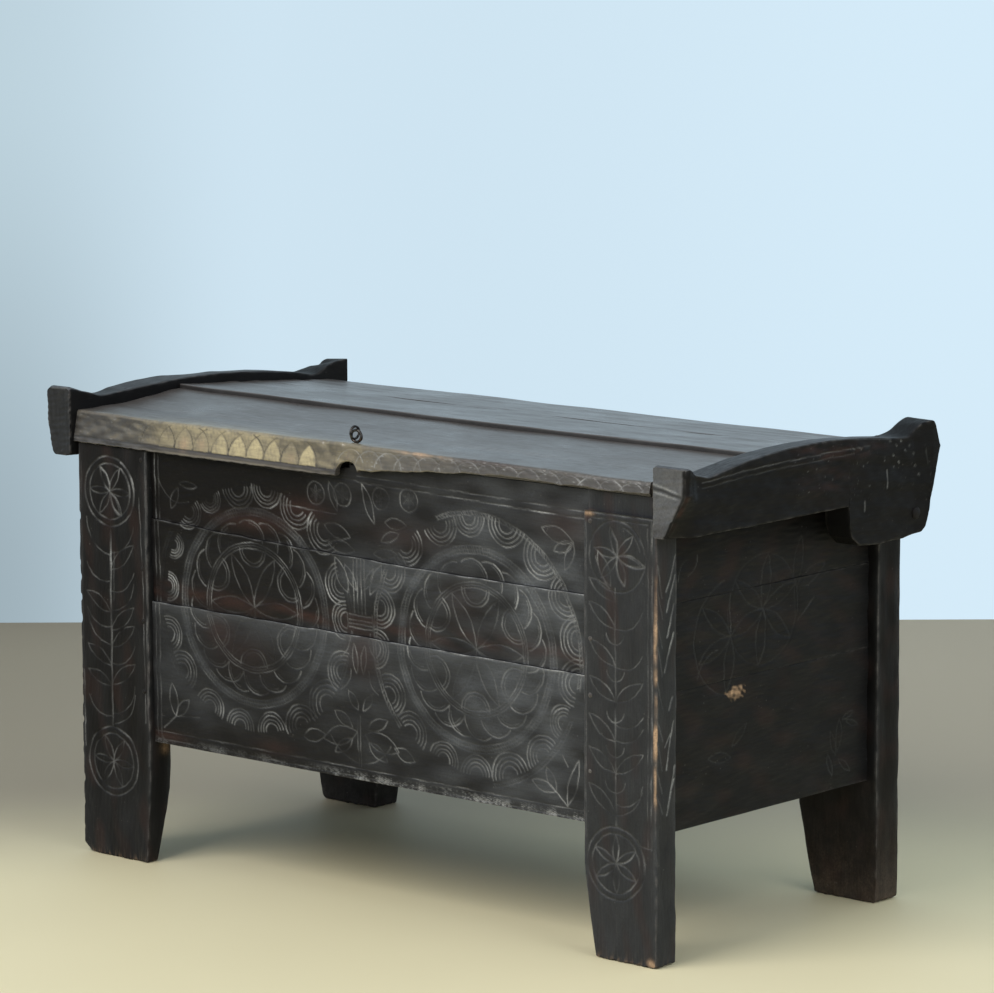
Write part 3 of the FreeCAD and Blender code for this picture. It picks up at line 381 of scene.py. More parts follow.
def carve_front():
    """Front boards: borders, two roundels, a stem between them and a leaf in each corner."""
    c = Chisel(11)
    c.line((-438, 672), (-438, 560), light=0.8)
    c.line((-438, 560), (-438, 205), light=0.5)
    c.line((-430, 664), (-430, 214), light=0.35, width=1.0)
    for z0, z1 in ((219, 215), (206, 203)):
        c.line((-444, z0), (-60, z0 - 1.7), light=0.5)
        c.line((-60, z0 - 1.7), (455, z1), light=0.9)
    c.line((-430, 668), (0, 666), light=0.2)
    for z0, z1 in ((673, 665), (663, 654)):
        c.line((0, z0 + 1), (110, z0 - 1), light=0.45)
        c.line((110, z0 - 1), (460, z1), light=1.1)
    c.line((455, 655), (455, 210), light=0.3)
    carve_roundel(c, -223, 443, LEFT_NESTS, (0.3, 0.6, 0.5, 0.35, 0.1, 0.15), ((150, 215, 0.08), (330, 390, 0.08)))
    carve_roundel(c, 240, 433, RIGHT_NESTS, (0.5, 0.3, 0.8, 0.4, 0.12, 0.65),
                  ((-10, 112, 0.8), (150, 222, 0.7), (280, 335, 0.3)))
    for x, z, radius in ((-88, 638, 18), (-32, 641, 18), (48, 643, 17), (105, 646, 18)):
        c.arc(x, z, radius, light=0.7)
        c.petals(x, z, radius * 0.7, 30, width=0.8, light=0.22)
    for start, end, bulge in (((-60, 659), (-44, 615), 0.14), ((10, 662), (34, 602), 0.12),
                              ((-71, 591), (-18, 576), 0.2),
                              ((-63, 563), (-10, 556), 0.18), ((99, 607), (56, 607), 0.2), ((84, 593), (46, 577), 0.18),
                              ((79, 560), (30, 556), 0.16), ((-47, 543), (-22, 490), 0.18),
                              ((-27, 534), (-4, 496), 0.15),
                              ((50, 541), (24, 492), 0.16), ((32, 532), (12, 497), 0.14), ((-51, 302), (-13, 281), 0.2),
                              ((-75, 255), (-4, 274), 0.2), ((-51, 237), (-14, 262), 0.2),
                              ((-119, 252), (-72, 262), 0.22),
                              ((-21, 337), (-1, 309), 0.2), ((60, 300), (18, 281), 0.2), ((82, 254), (12, 272), 0.2),
                              ((58, 235), (20, 260), 0.2), ((115, 243), (74, 258), 0.22), ((28, 336), (9, 309), 0.2)):
        c.leaf(start, end, bulge, light=0.9)
    c.line((-161, 613), (-45, 610), light=0.9)
    for x in (-10, -2, 6, 13):
        c.line((x, 546), (x + 1, 460), light=0.75, width=1.1)
    for z in (457, 449, 443, 437):
        c.line((-21, z), (26, z - 1), light=0.85, width=1.1)
    for x in (-24, 28):
        c.line((x, 459), (x, 435), light=0.6, width=1.0)
    c.line((3, 300), (3, 220), light=0.8)
    c.line((-3, 296), (-2, 222), light=0.5, width=0.9)
    c.bow((4, 225), (-60, 262), 0.12, light=0.7)
    c.bow((4, 225), (66, 260), -0.12, light=0.7)
    for x, side in ((-16, 1), (22, -1)):
        c.bow((x, 430), (x - 22 * side, 388), 0.16 * side, light=0.7)
        c.bow((x, 372), (x - 20 * side, 338), 0.16 * side, light=0.65)
        c.leaf((x + 8 * side, 412), (x + 12 * side, 366), 0.12, light=0.6)
    c.bow((-430, 626), (-365, 596), -0.22, light=0.9)
    c.leaf((-404, 582), (-388, 616), 0.2, light=0.9)
    c.leaf((-385, 623), (-345, 622), 0.14, light=0.8)
    c.leaf((371, 633), (432, 617), 0.18, light=0.95)
    c.leaf((432, 616), (394, 600), 0.2, light=0.95)
    c.leaf((432, 616), (415, 573), 0.16, light=0.95)
    c.leaf((-398, 247), (-405, 300), 0.17, light=0.95)
    c.leaf((-398, 247), (-367, 277), 0.2, light=0.9)
    c.line((-398, 247), (-345, 252), light=0.75)
    c.line((-398, 247), (-424, 226), light=0.7)
    c.leaf((351, 249), (398, 237), 0.17, light=0.95)
    c.leaf((381, 271), (399, 237), 0.2, light=0.9)
    c.line((399, 237), (421, 218), light=0.85)
    c.leaf((421, 218), (443, 290), 0.11, light=1.0)
    c.line((412, 293), (421, 278), light=0.8)
    return c.cut((-450, 196), (466, 690))


def carve_stem(c, x, side_tips, leaves, light=0.8):
    """A stem with leaves: each is (height of its foot, height of its tip, which side, kind)."""
    for foot, tip, side, kind in leaves:
        reach = side_tips[0 if side < 0 else 1]
        how = dict(light=light * (1.0 if side < 0 else 0.72))
        if kind == "leaf":
            c.leaf((x, foot), (x + (reach - x), tip), 0.15, **how)
        elif kind == "arc":
            c.bow((x, foot), (x + (reach - x), tip), -0.2 * side, **how)
        elif kind == "curl":
            c.arc(x, foot, tip, 185, 355, light=light)


def front_seen(x, z):
    """How far the carved lines of the front still show: faint in some places and bright in others, from wear and from
    painted highlight.
    """
    return np.clip(0.5 + 0.4 * hewn(21, x, z, 70, 50) + spots(
        x, z, (-223, 385, 90, 55, -0.3), (-345, 595, 80, 45, -0.4), (-120, 350, 50, 50, -0.2), (60, 560, 60, 40, -0.3),
        (-129, 613, 40, 30, 0.6), (-50, 490, 45, 50, 0.5), (55, 480, 35, 45, 0.5), (-405, 500, 40, 60, 0.45),
        (300, 600, 110, 60, 0.5), (410, 500, 50, 90, 0.5), (300, 470, 60, 50, 0.3), (400, 250, 60, 50, 0.3),
        (-35, 420, 30, 20, 0.5)), 0.12, 1.3)


def front_bloom_and_sheen(x, z):
    """Where the front's black is painted bluish grey: a grey bloom with painted sheen that grows little by little
    towards the right, held back at the left under the lid as painted shade, and soft ovals."""
    bloom_and_sheen = 0.05 + 0.44 * share(x, -150, 420) - 0.35 * share(x, -60, -300) * share(z, 540, 620) + spots(
        x, z, (0, 520, 60, 28, 0.5), (390, 505, 70, 55, 0.5), (235, 610, 45, 30, 0.35), (355, 575, 35, 28, 0.35),
        (300, 365, 80, 40, 0.35), (-390, 320, 60, 45, 0.3), (-40, 345, 80, 45, 0.25), (375, 300, 45, 30, 0.35),
        (-300, 270, 110, 30, 0.25), (320, 245, 90, 25, 0.25), (80, 520, 60, 30, 0.3), (-90, 400, 90, 25, 0.25))
    ring = sum(np.exp(-((np.hypot(x - mx, z - mz) - 152) / 7) ** 2) * part for mx, mz,
               part in ((-223, 443, 0.28), (240, 433, 0.38)))
    return (bloom_and_sheen + ring) * (0.82 + 0.3 * hewn(22, x, z, 110, 50))


def front_red(x, z):
    """Where reddish brown wood shows through on the front."""
    band = 0.7 * np.exp(-((z - 446) / 15) ** 2) * (0.6 + 0.4 * hewn(23, x, z, 90, 40))
    return band + spots(x, z, (-220, 578, 90, 14, 0.7), (-120, 610, 60, 18, 0.6), (10, 400, 35, 35, 0.5),
                        (-250, 370, 60, 30, 0.35),
                        (-300, 400, 30, 20, 0.4), (210, 500, 40, 30, 0.3), (-420, 212, 40, 9, 0.9),
                        (-180, 225, 40, 12, 0.5),
                        (420, 640, 50, 25, 0.4), (100, 590, 70, 20, 0.4))


def carve_post_left():
    """Front left post: rosette, stem with leaves, rosette."""
    c = Chisel(37)
    for z, first in ((598, -1), (158, 55)):
        c.arc(-530, z, 56, light=0.6, width=1.5)
        c.arc(-530, z, 45, light=0.55, width=1.3)
        c.petals(-530, z, 44, first, light=0.5)
    c.arc(-530, 598, 55, -20, 62, light=1.2, width=1.5)
    c.arc(-530, 598, 46, -8, 56, light=1.1, width=1.5)
    c.leaf((-530, 598), (-551, 635), 0.16, light=1.2, width=1.6)
    c.leaf((-528, 595), (-505, 561), 0.16, light=1.2, width=1.6)
    c.line((-530, 534), (-531, 216), light=0.85, width=1.6)
    c.line((-523, 500), (-524, 420), light=0.4)
    carve_stem(c, -531, (-584, -478), [
        (494, 552, -1, "arc"), (452, 478, -1, "arc"), (402, 432, -1, "leaf"), (378, 404, -1, "arc"),
        (348, 398, -1, "arc"), (315, 345, -1, "leaf"), (282, 303, -1, "leaf"), (232, 262, -1, "arc"),
        (498, 545, 1, "arc"), (470, 515, 1, "leaf"), (436, 470, 1, "arc"), (405, 452, 1, "arc"), (372, 414, 1, "leaf"),
        (345, 384, 1, "leaf"), (318, 352, 1, "arc"), (284, 322, 1, "leaf"), (219, 272, 1, "arc"),
        (236, 286, 1, "arc")], 0.62)
    c.line((-464, 594), (-458, 470), (-455, 230), light=0.85)
    c.line((-449.5, 668), (-449.5, 160), light=0.6)
    c.line((-595, 300), (-594, 175), light=0.7)
    c.line((-594, 640), (-595, 330), light=0.25)
    return c.cut((-602, -2), (-444, 702))


def carve_post_right():
    """Front right post: ruled edges, rosette, stem with leaves and curls, rosette."""
    c = Chisel(41)
    c.arc(525, 607, 53, light=0.35, width=1.4)
    c.arc(525, 607, 53, 10, 80, light=0.9, width=1.5)
    c.arc(525, 607, 45, 15, 75, light=0.6)
    c.petals(525, 607, 45, -12, light=0.55)
    for tip in ((514, 643), (577, 597), (538, 565)):
        c.leaf((525, 607), tip, 0.15, light=1.0, width=1.5)
    c.leaf((488, 612), (512, 562), 0.16, light=0.9)
    c.bow((484, 604), (512, 558), -0.08, light=0.6)
    c.arc(523, 148, 55, light=0.6, width=1.6)
    c.arc(523, 148, 45, light=0.55, width=1.4)
    c.petals(523, 148, 44, 92, light=0.65, width=1.4)
    c.line((521, 560), (523, 206), light=0.5, width=1.3)
    carve_stem(c, 522, (472, 574), [
        (500, 536, -1, "leaf"), (541, 571, -1, "leaf"), (443, 480, -1, "leaf"), (391, 424, -1, "leaf"),
        (331, 368, -1, "leaf"),
        (285, 318, -1, "leaf"), (221, 264, -1, "leaf"), (443, 464, 1, "arc"), (391, 424, 1, "leaf"),
        (334, 356, 1, "arc"),
        (357, 374, 1, "arc"), (284, 318, 1, "leaf"), (221, 270, 1, "arc"), (238, 262, 1, "arc"), (500, 529, 1, "arc"),
        (493, 17, 1, "curl"), (438, 17, 1, "curl"), (325, 17, 1, "curl"), (273, 19, 1, "curl"), (376, 16, 1, "curl")],
        0.72)
    c.line((464, 668.3), (592, 668), light=1.0, width=1.3)
    c.line((466, 661), (584, 660), light=0.4)
    c.line((591, 664), (591, 178), light=0.75, width=1.5)
    c.line((583.5, 655), (584, 182), light=0.5)
    c.line((466, 668), (466, 180), light=0.55)
    c.line((562, 190), (572, 180), (597, 180), light=0.6)
    return c.cut((458, -2), (602, 702))


def carve_post_side():
    """Outer side of the front right post: slanting feather cuts that meet down its middle, in Y and Z."""
    c = Chisel(43)
    for foot, head, y0, y1 in ((560, 612, -273, -252), (531, 583, -272, -254), (493, 540, -271, -256),
                               (441, 498, -276, -258),
                               (384, 402, -266, -259), (296, 366, -273, -256), (330, 348, -276, -262),
                               (240, 280, -270, -256),
                               (250, 300, -266, -254), (228, 262, -272, -262)):
        c.line((y0, foot), (y1, head), light=1.1, width=1.5)
    for foot, head in ((552, 602), (522, 574), (478, 520), (436, 488), (388, 430), (340, 372), (296, 340), (262, 300),
                       (232, 262)):
        c.line((-281, foot), (-294, head), light=0.4, width=1.2)
    return c.cut((-298, -2), (-246, 702))


def carve_end():
    """Right end: two faint interlaced six-petal circles, and leaves low at the back, in Y and Z."""
    c = Chisel(47)
    c.arc(-20, 498, 84, light=0.28, width=1.1)
    c.petals(-20, 498, 84, 22, light=0.42)
    c.arc(-97, 467, 87, 100, 262, light=0.4, width=1.2)
    c.petals(-97, 467, 84, 142, light=0.5, count=3)
    c.petals(60, 520, 78, 22, light=0.35, count=2)
    c.line((-101, 534), (-98, 474), light=0.85)
    c.line((55, 530), (58, 478), light=0.4)
    c.bow((-178, 414), (-128, 452), 0.14, light=0.7)
    c.line((66, 470), (104, 500), light=0.8, width=1.0)
    for start, end in (((162, 246), (146, 284)), ((166, 250), (170, 300)), ((176, 300), (204, 308)),
                       ((168, 238), (196, 216)),
                       ((150, 216), (142, 250)), ((186, 296), (214, 286)), ((-60, 330), (-92, 300)),
                       ((-150, 290), (-95, 284))):
        c.leaf(start, end, 0.14, light=0.5, width=1.0)
    c.bow((-222, 566), (-196, 596), 0.24, light=0.9)
    c.bow((-198, 572), (-178, 600), -0.2, light=0.9)
    return c.cut((-252, 190), (244, 650))


TEETH = ((-416, 0.35), (-376, 0.5), (-341, 0.6), (-299, 0.85), (-259, 1.0), (-222, 0.95), (-185, 0.9), (-147, 0.6),
         # feet of the lip's half circles along X, and the lightness of the arch after each
         (-110, 1.05), (-72, 0.35), (-32, 0.0))


def carve_lip():
    """Lip of the lid: overlapping half circles over a ruled line, in X and Z."""
    c = Chisel(53)
    for x, _ in TEETH[:-2]:
        c.arc(x, 681, 38.6, 4, 176, light=1.0, width=1.0, spread=0.3)
    for x in (-453, -491, -530, -568):
        c.arc(x, 681, 38.6, 20, 160, light=0.3, width=1.0)
    for k in range(15):
        x = 35 + 39.9 * k
        c.arc(x, 688.5 + min(k, 4) * 0.6, 27.5, 8, 172, light=1.0 if k < 9 else 0.8, width=1.0)
        c.arc(x + 20, 688.5 + min(k, 4) * 0.6, 27.5, 60, 120, light=0.45, width=0.8)
    c.arc(-3, 689, 27, 20, 160, light=0.7, width=1.0)
    c.line((-600, 681.5), (-60, 681), light=0.9, width=1.3)
    c.line((-600, 675.5), (-40, 675.5), light=0.25, width=1.0)
    return c.cut((-606, 668), (592, 724))


def lip_teeth(x, z):
    """Lightness of the pale pointed arches left between the half circles: inside both circles round neighbouring
    feet, rising over 3 mm from their lines."""
    teeth = np.zeros(np.broadcast(x, z).shape)
    for (foot, light), (other, _) in zip(TEETH[:-1], TEETH[1:]):
        inset = np.minimum(38.6 - np.hypot(x - foot, z - 681), 38.6 - np.hypot(x - other, z - 681))
        teeth = np.where((x > foot) & (x <= other) & (z > 682), np.clip((inset - 0.8) / 2.2, 0, 1) * light, teeth)
    return teeth


def carve_cheek():
    """Outer face of a cheek: two ruled lines under its arch and a few scratches on its lobe, in Y and Z."""
    c = Chisel(59)
    c.line((-250.8, 723), (-164.9, 728.5), (-70.3, 732), (50.6, 733), (149.5, 732), light=0.45, width=0.9)
    c.line((-250.8, 714.5), (-164.9, 720), (-70.3, 723.5), (50.6, 724.5), (110, 724.5), light=0.35, width=0.9)
    for y, z in ((200, 734), (214, 726), (226, 731), (236, 716), (248, 722), (258, 708), (262, 690), (270, 676),
                 (222, 700), (206, 712)):
        c.line((y, z), (y + 3.0, z - 1.5), light=0.9, width=1.1)
    for y, z, long, turn in c.rng.uniform((-40, 655, 0.3, 0), (298, 742, 1.8, 3), (90, 4)):
        c.line((y, z), (y + long * math.cos(turn), z + long * math.sin(turn)), light=0.6, width=0.5)
    c.line((138, 649), (138.5, 634), light=0.6, width=0.8)
    c.line((193, 690), (193, 663), light=0.6, width=0.8)
    c.line((285, 720), (292, 690), light=0.35, width=0.8)
    return c.cut((-312, 575), (345, 756))


# Pieces

def shape_front_board(name, low, high, material, read, depth):
    """Wedge board across the front: its thin lower edge stands back, its thick upper edge is proud; both edges
    slope from the left post to the right one, the upper joint hanging 6 mm in its middle. The top board has the hasp's
    slot and room for the eye's clench."""
    xs = steps(INNER_X["front", LEFT], INNER_X["front", RIGHT], 1.6, 1.2)
    t = share(xs, xs[0], xs[-1])
    z0, z1 = low[0] + (low[1] - low[0]) * t + 0.05, high[0] + (high[1] - high[0]) * t - 0.05
    wander = 0.5 * hewn(15, xs, 0 * xs, 90, 90)
    hang = 6.0 * (1 - (2 * t - 1) ** 2)
    z0 = z0 + (wander if low[0] > PANEL_LOW else 0) - (hang if low == (JOINTS_LEFT[1], JOINTS_RIGHT[1]) else 0)
    z1 = z1 + (wander if high[0] < PANEL_HIGH else 0) - (hang if high == (JOINTS_LEFT[1], JOINTS_RIGHT[1]) else 0)
    bottom, top = name.endswith("bottom"), name.endswith("top")
    lean, thin = (2, 20) if bottom else (4, 12)
    one = np.ones_like(xs)
    corners = np.stack([np.stack([one * (PANEL_Y + lean), z0], 1), np.stack([one * PANEL_Y, z1], 1),
                        np.stack([one * (PANEL_Y + 24), z1], 1), np.stack([one * (PANEL_Y + lean + thin), z0], 1)], 1)
    rows = int((high[0] - low[0]) / 1.6)
    ring, side, _ = rounded_outline(corners, (rows, 4, 10, 4), (0.8, 1.3, 2.0, 2.0))
    x, y, z = xs[:, None] + 0 * ring[..., 0], ring[..., 0].copy(), ring[..., 1]
    face = (side == 0)[None, :]
    cut, line = read(x, z)
    swell = hewn(5, x, z, 150, 60) * 0.6 + hewn(6, x, z, 34, 12) * 0.16
    dents = np.clip(hewn(7, x, z, 26, 14, 14) - 1.0, 0, 1) * 0.8
    y += np.where(face | (side == -1), swell, 0) + np.where(face, cut * depth + dents, 0)
    if top:
        slot, room = (x > -33) & (x < -15) & (z > 684), (x > -12) & (x < 20) & (z > 690)
        y = np.where(slot | room, np.maximum(y, PANEL_Y + 16), y)
    points = np.stack([x, y, z], -1)
    below, skirt = z1[:, None] - z, z - z0[:, None]
    bloom_and_sheen, red = front_bloom_and_sheen(x, z), front_red(x, z)
    ragged = 0.7 + 0.5 * hewn(8, x, z, 34, 9)
    # Painted light at the joints: the bottom board's proud top, and the middle board's at the right, are made lighter
    # and bluer, fading downwards; the top arris (arris, bright) is a pale line, partly wear and partly painted
    # highlight where light catches it.
    if bottom:
        bloom_and_sheen = bloom_and_sheen + 0.45 * np.exp(-below / 13) + 0.22 * np.exp(-below / 60)
        bright = np.interp(x, [-440, -350, -335, -165, -150, -62, -48, 165, 180, 300, 312, 335, 345, 440],
                           [0.5, 0.5, 0.2, 0.2, 0.9, 0.9, 0.45, 0.5, 0.95, 0.9, 0.5, 0.6, 1.2, 1.2])
    elif top:
        bright = 0.0 * x
    else:
        bloom_and_sheen = bloom_and_sheen + 0.35 * np.exp(-below / 14) * share(x, -10, 60)
        bright = np.interp(x, [-440, -20, 30, 440], [0.3, 0.35, 0.8, 0.7])
    arris = np.exp(-(below / 1.5) ** 2) * bright * ragged
    speck = share(z, 214, 205) * (0.35 + 0.65 * share(x, -90, -30)) * np.clip(0.7 * hewn(24, x + 3 * z, z, 9, 6, 21)
            + 0.6 * hewn(25, x, z, 60, 30) + 0.1, 0, 1) * bottom
    seen = np.where(face, line, 0) * front_seen(x, z)
    marks = {"line": np.maximum(np.maximum(seen, arris * (side <= 0)), speck * 0.8).ravel(),
             "rub": np.clip(0.35 * np.exp(-skirt / 1.5) * ragged * (side <= 0), 0, 1).ravel(),
             "bloom_and_sheen": np.clip(bloom_and_sheen * (side <= 0), 0, 1).ravel(), "red": np.clip(red * (side <= 0), 0, 1).ravel()}
    return make_piece(name + "_carved", points, skin(points), marks, "chest", material, [name])


def shape_wall_board(name, side, end_wall, low, high, lean, thin, material, pitch, read=None, depth=1.0,
                     arched=False):
    """Plainer wedge board: along Y in an end wall, or along X in the back. An arched one has its upper edge on a
    circle: the chord plus rise * 4t(1 - t)."""
    if end_wall:
        along = steps(FRONT_INNER_Y, BACK_INNER_Y, pitch, 2.0)
        plane = END_X
    else:
        along = steps(INNER_X["back", LEFT], INNER_X["back", RIGHT], pitch, 2.0)
        plane = -PANEL_Y
    one = np.ones_like(along)
    z0, z1 = one * low + 0.05, one * high - 0.05
    if arched:
        t = share(along, along[0] - 11, along[-1] + 11)
        z1 = 688 - 10 * t + 24.6 * 4 * t * (1 - t)
    corners = np.stack([np.stack([one * (plane - lean), z0], 1), np.stack([one * plane, z1], 1),
                        np.stack([one * (plane - 24), z1], 1), np.stack([one * (plane - lean - thin), z0], 1)], 1)
    rows = max(int((high - low) / pitch), 8)
    ring, edge, near = rounded_outline(corners, (rows, 4, 12, 4), (0.6, 0.9, 2.0, 2.0))
    a, out, z = along[:, None] + 0 * ring[..., 0], ring[..., 0].copy(), ring[..., 1]
    face = (edge == 0)[None, :]
    seed = sum(map(ord, name))
    swell = hewn(seed, a, z, 160, 70) * 0.8 + hewn(seed + 1, a, z, 60, 12) * 0.25
    cut, line = read(a, z) if read else (0 * a, 0 * a)
    out -= np.where(face | (edge == -1), swell, 0) + np.where(face, cut * depth, 0) - np.where((edge == 2)[None, :],
            swell, 0)
    flat = np.stack([side * out, a, z], -1) if end_wall else np.stack([a, out, z], -1)
    rub = 0.45 * np.exp(-near / 1.6) * (0.15 + 0.85 * share(a, 0, 200)) * (0.5 + 0.5 * hewn(seed + 2, a, z, 30,
            12)) * (edge <= 0)
    raw = np.zeros_like(a)
    if read:
        raw = np.clip(1.25 - np.hypot((a + 87) / 17, (z - 381) / 8.5) + 0.4 * hewn(3, a, z, 16, 9), 0, 1)
    # Grey bloom, taken away towards the top of the wall by painted shade under the lid's overhang.
    bloom_and_sheen = 0.075 + 0.012 * hewn(seed + 3, a, z, 120, 60) - 0.085 * share(z, 560, 640)
    marks = {"line": np.where(face, line, 0).ravel(), "rub": np.clip(rub, 0, 1).ravel(),
             "raw": np.where(face, raw, 0).ravel(),
             "bloom_and_sheen": np.clip(bloom_and_sheen, 0, 1).ravel(), "red": np.clip(0.2 * hewn(seed + 4, a, z, 120, 60), 0, 1).ravel()}
    return make_piece(name + "_board", flat, skin(flat), marks, "chest", material, [name])


POST_FEET = {  # inner taper, outer taper, outer corner, thinning of the foot's back
    ("front", LEFT): (10, 0, 16, 21), ("front", RIGHT): (22, 0, 4, 0), ("back", LEFT): (22, 26, 6, 0),
    ("back", RIGHT): (31, 0, 5, 0)}
# Grey bloom and painted sheen on each post; the front right carries the most.
POST_BLOOM_AND_SHEEN = {("front", LEFT): 0.05, ("front", RIGHT): 0.30, ("back", LEFT): 0.0, ("back", RIGHT): 0.03}


def shape_post(wall, side, material, pitch, read=None, read_side=None, depth=1.0):
    """Plank post carried up its height: the inner edge tapers below 140, the outer bottom corner is cut off, and a
    front post steps back above its shoulder."""
    front = wall == "front"
    inward, outward, corner, thinning = POST_FEET[wall, side]
    top = LID_UNDER - 0.5 if front else SHOULDER + 10
    z = steps(0.0, SHOULDER if front else top, pitch, 4.0)
    y_front = np.full_like(z, -HALF_DEPTH if front else BACK_INNER_Y)
    if front:
        upper = steps(SHOULDER, top, 3.0, 2.0)
        z = np.concatenate([z, upper])
        y_front = np.concatenate([y_front, np.full_like(upper, PANEL_Y)])
    y_back = np.full_like(z, FRONT_INNER_Y if front else HALF_DEPTH) - thinning * share(z, 118, 0)
    inner = INNER_X[wall, side] + side * inward * share(z, 140, 0)
    outer = side * (HALF_LENGTH - outward * share(z, 140, 6) - np.clip(corner - z, 0, None))
    x0, x1 = (inner, outer) if side > 0 else (outer, inner)
    worn = 2.5 - np.sqrt(np.clip(2.5 ** 2 - np.clip(2.5 - z, 0, None) ** 2, 0, None))
    x0, x1, y_front, y_back = x0 + worn, x1 - worn, y_front + worn, y_back - worn
    corners = np.stack([np.stack(p, 1) for p in ((x0, y_front), (x1, y_front), (x1, y_back), (x0, y_back))], 1)
    width = abs(float(outer[-1] - inner[-1]))
    counts = (int(width / pitch), 28 if read_side else 10, 12, 10)
    r = 2.0 + 0.8 * hewn(17 + side, 0 * z, z, 60, 60)
    ring, edge, near = rounded_outline(corners, counts, [r[:, None]] * 4)
    x, y, h = ring[..., 0].copy(), ring[..., 1].copy(), z[:, None] + 0 * ring[..., 0]
    seed = 60 + 7 * side + (3 if front else 0)
    face, flank = (edge == 0)[None, :], (edge == 1)[None, :]
    swell = hewn(seed, x, h, 50, 150) * 0.7 + hewn(seed + 1, x, h, 10, 46) * 0.2
    sway = hewn(seed + 2, y, h, 40, 130) * 0.8
    cut, line = (read(x, h) if read else (0 * x, 0 * x))
    deep, mark = (read_side(y, h) if read_side else (0 * x, 0 * x))
    low_front = (face & (h < SHOULDER)) if front else face
    foot_wear = np.exp(-h / 26) * (0.5 + 0.5 * hewn(seed + 3, x + y, h, 9, 60))
    y += np.where(low_front, cut * depth, 0) + swell * (face | (edge == -1)[None, :]) + foot_wear * 0.9 * face
    x += sway * side * (edge == (1 if side > 0 else 3))[None, :] - np.where(flank & (side > 0), deep * depth, 0)
    h = h + np.where(h < 4, 0.9 * (1 + hewn(seed + 4, x, y, 14, 14)) * share(h, 4, 0), 0)
    chips = np.clip(hewn(seed + 5, 0 * h, h, 30, 34, 15) - 0.35, 0, 1.2)
    outer_arris = np.exp(-np.abs(np.abs(x) - HALF_LENGTH) / 2.6) * np.exp(-np.abs(y + HALF_DEPTH) / 2.6)
    bite = outer_arris * chips * (1.0 if front else 0.3)
    x, y = x - side * bite * 2.0, y + bite * 1.6 * (1 if front else 0)
    rub = np.exp(-near / 2.0) * (0.4 + 0.5 * hewn(seed + 6, x + y, h, 12, 40))
    # Grey bloom and painted sheen: a level for each post, more low on the front posts and along the rounded arrises.
    bloom_and_sheen = POST_BLOOM_AND_SHEEN[wall, side] + 0.06 * front * share(h, 180, 60) + 0.025 * hewn(seed + 8, x + y, h, 60,
            120) + 0.25 * np.exp(-near / 5) * share(h, 60, 160)
    red = 0.28 * hewn(seed + 9, x + y, h, 60, 140) - 0.05
    raw = 0 * x
    if not front:
        rub, raw = rub + 0.3 * np.exp(-h / 45), 0.12 * np.exp(-h / 60) * (side > 0)
    if front and side > 0:
        wide = np.clip(1.8 - np.abs(x - HALF_LENGTH) / 4.0 - np.abs(y + HALF_DEPTH) / 1.8, 0, 1)
        strip = share(h, 236, 250) * share(h, 590, 560) * np.clip(0.62 + 0.6 * hewn(5, 0 * h, h, 40, 46, 13), 0, 1)
        raw = wide * strip * (0.75 + 0.6 * np.exp(-((h - 380) / 45) ** 2))
        raw = raw + spots(x, h, (590, 8, 6, 5, 0.9), (597, 3, 5, 4, 0.7), (470, 666, 9, 3, 0.7)) * face
        red = red + 0.8 * outer_arris * share(h, 470, 520) + spots(x, h, (466, 662, 9, 9, 1.0)) * face
    elif front:
        red = red + spots(x, h, (-560, 250, 16, 60, 0.3)) * face
        bloom_and_sheen = bloom_and_sheen + 0.4 * np.exp(-((y + 247) / 9) ** 2) * share(h, 195, 150) * flank
        raw = 0.5 * spots(y, h, (-262, 186, 10, 9, 0.8), (-266, 240, 8, 26, 0.5)) * flank
    raw = raw + 0.35 * np.exp(-h / 5) * np.clip(hewn(seed + 7, x + y, h, 7, 30), 0, 1) * front
    points = np.stack([x, y, h], -1)
    marks = {"line": (np.where(low_front, line, 0) * (0.65 + 0.45 * hewn(seed + 10, x, h, 40, 60))
                      + np.where(flank, mark, 0)).ravel(),
             "rub": np.clip(rub, 0, 1).ravel(), "raw": np.clip(raw, 0, 1).ravel(), "bloom_and_sheen": np.clip(bloom_and_sheen, 0, 1).ravel(),
             "red": np.clip(red, 0, 1).ravel()}
    name = "post_%s_%s" % (wall, SIDE_NAME[side])
    return make_piece(name + "_hewn", points, skin(points), marks, "chest", material, [name])


def lip_edge(x):
    """Height of the lip's lower edge along X: level, up the notch's arc, then worn away towards the right."""
    notch = 678 + 18.2 - (24 - np.sqrt(np.clip(24 ** 2 - np.clip(x + 8.5, -23.4, 23.4) ** 2, 0, None)))
    worn = np.interp(x, [14, 60, 100, 150, 200, 250, 300, 350, 400, 450, 500, 550, 586, 640],
                     [684, 687, 690.5, 695, 699, 702, 704, 704.5, 703.5, 702.5, 702.5, 703.5, 705, 705])
    return np.where(x < -31, LIP_LOW, np.where(x < 14, notch, worn))


LID_EDGE_Z = 722  # the lid's front edge, over the lip
STEP_TOP_Z, STEP_FOOT_Z = 733.5, 723.5  # the first joint's step


def lid_sag(x):
    """How far the lid hangs between its cheeks: 2.2 * (1 - t^2), t being the share of the way from its middle."""
    return 2.2 * (1 - (x / CHEEK_IN) ** 2)


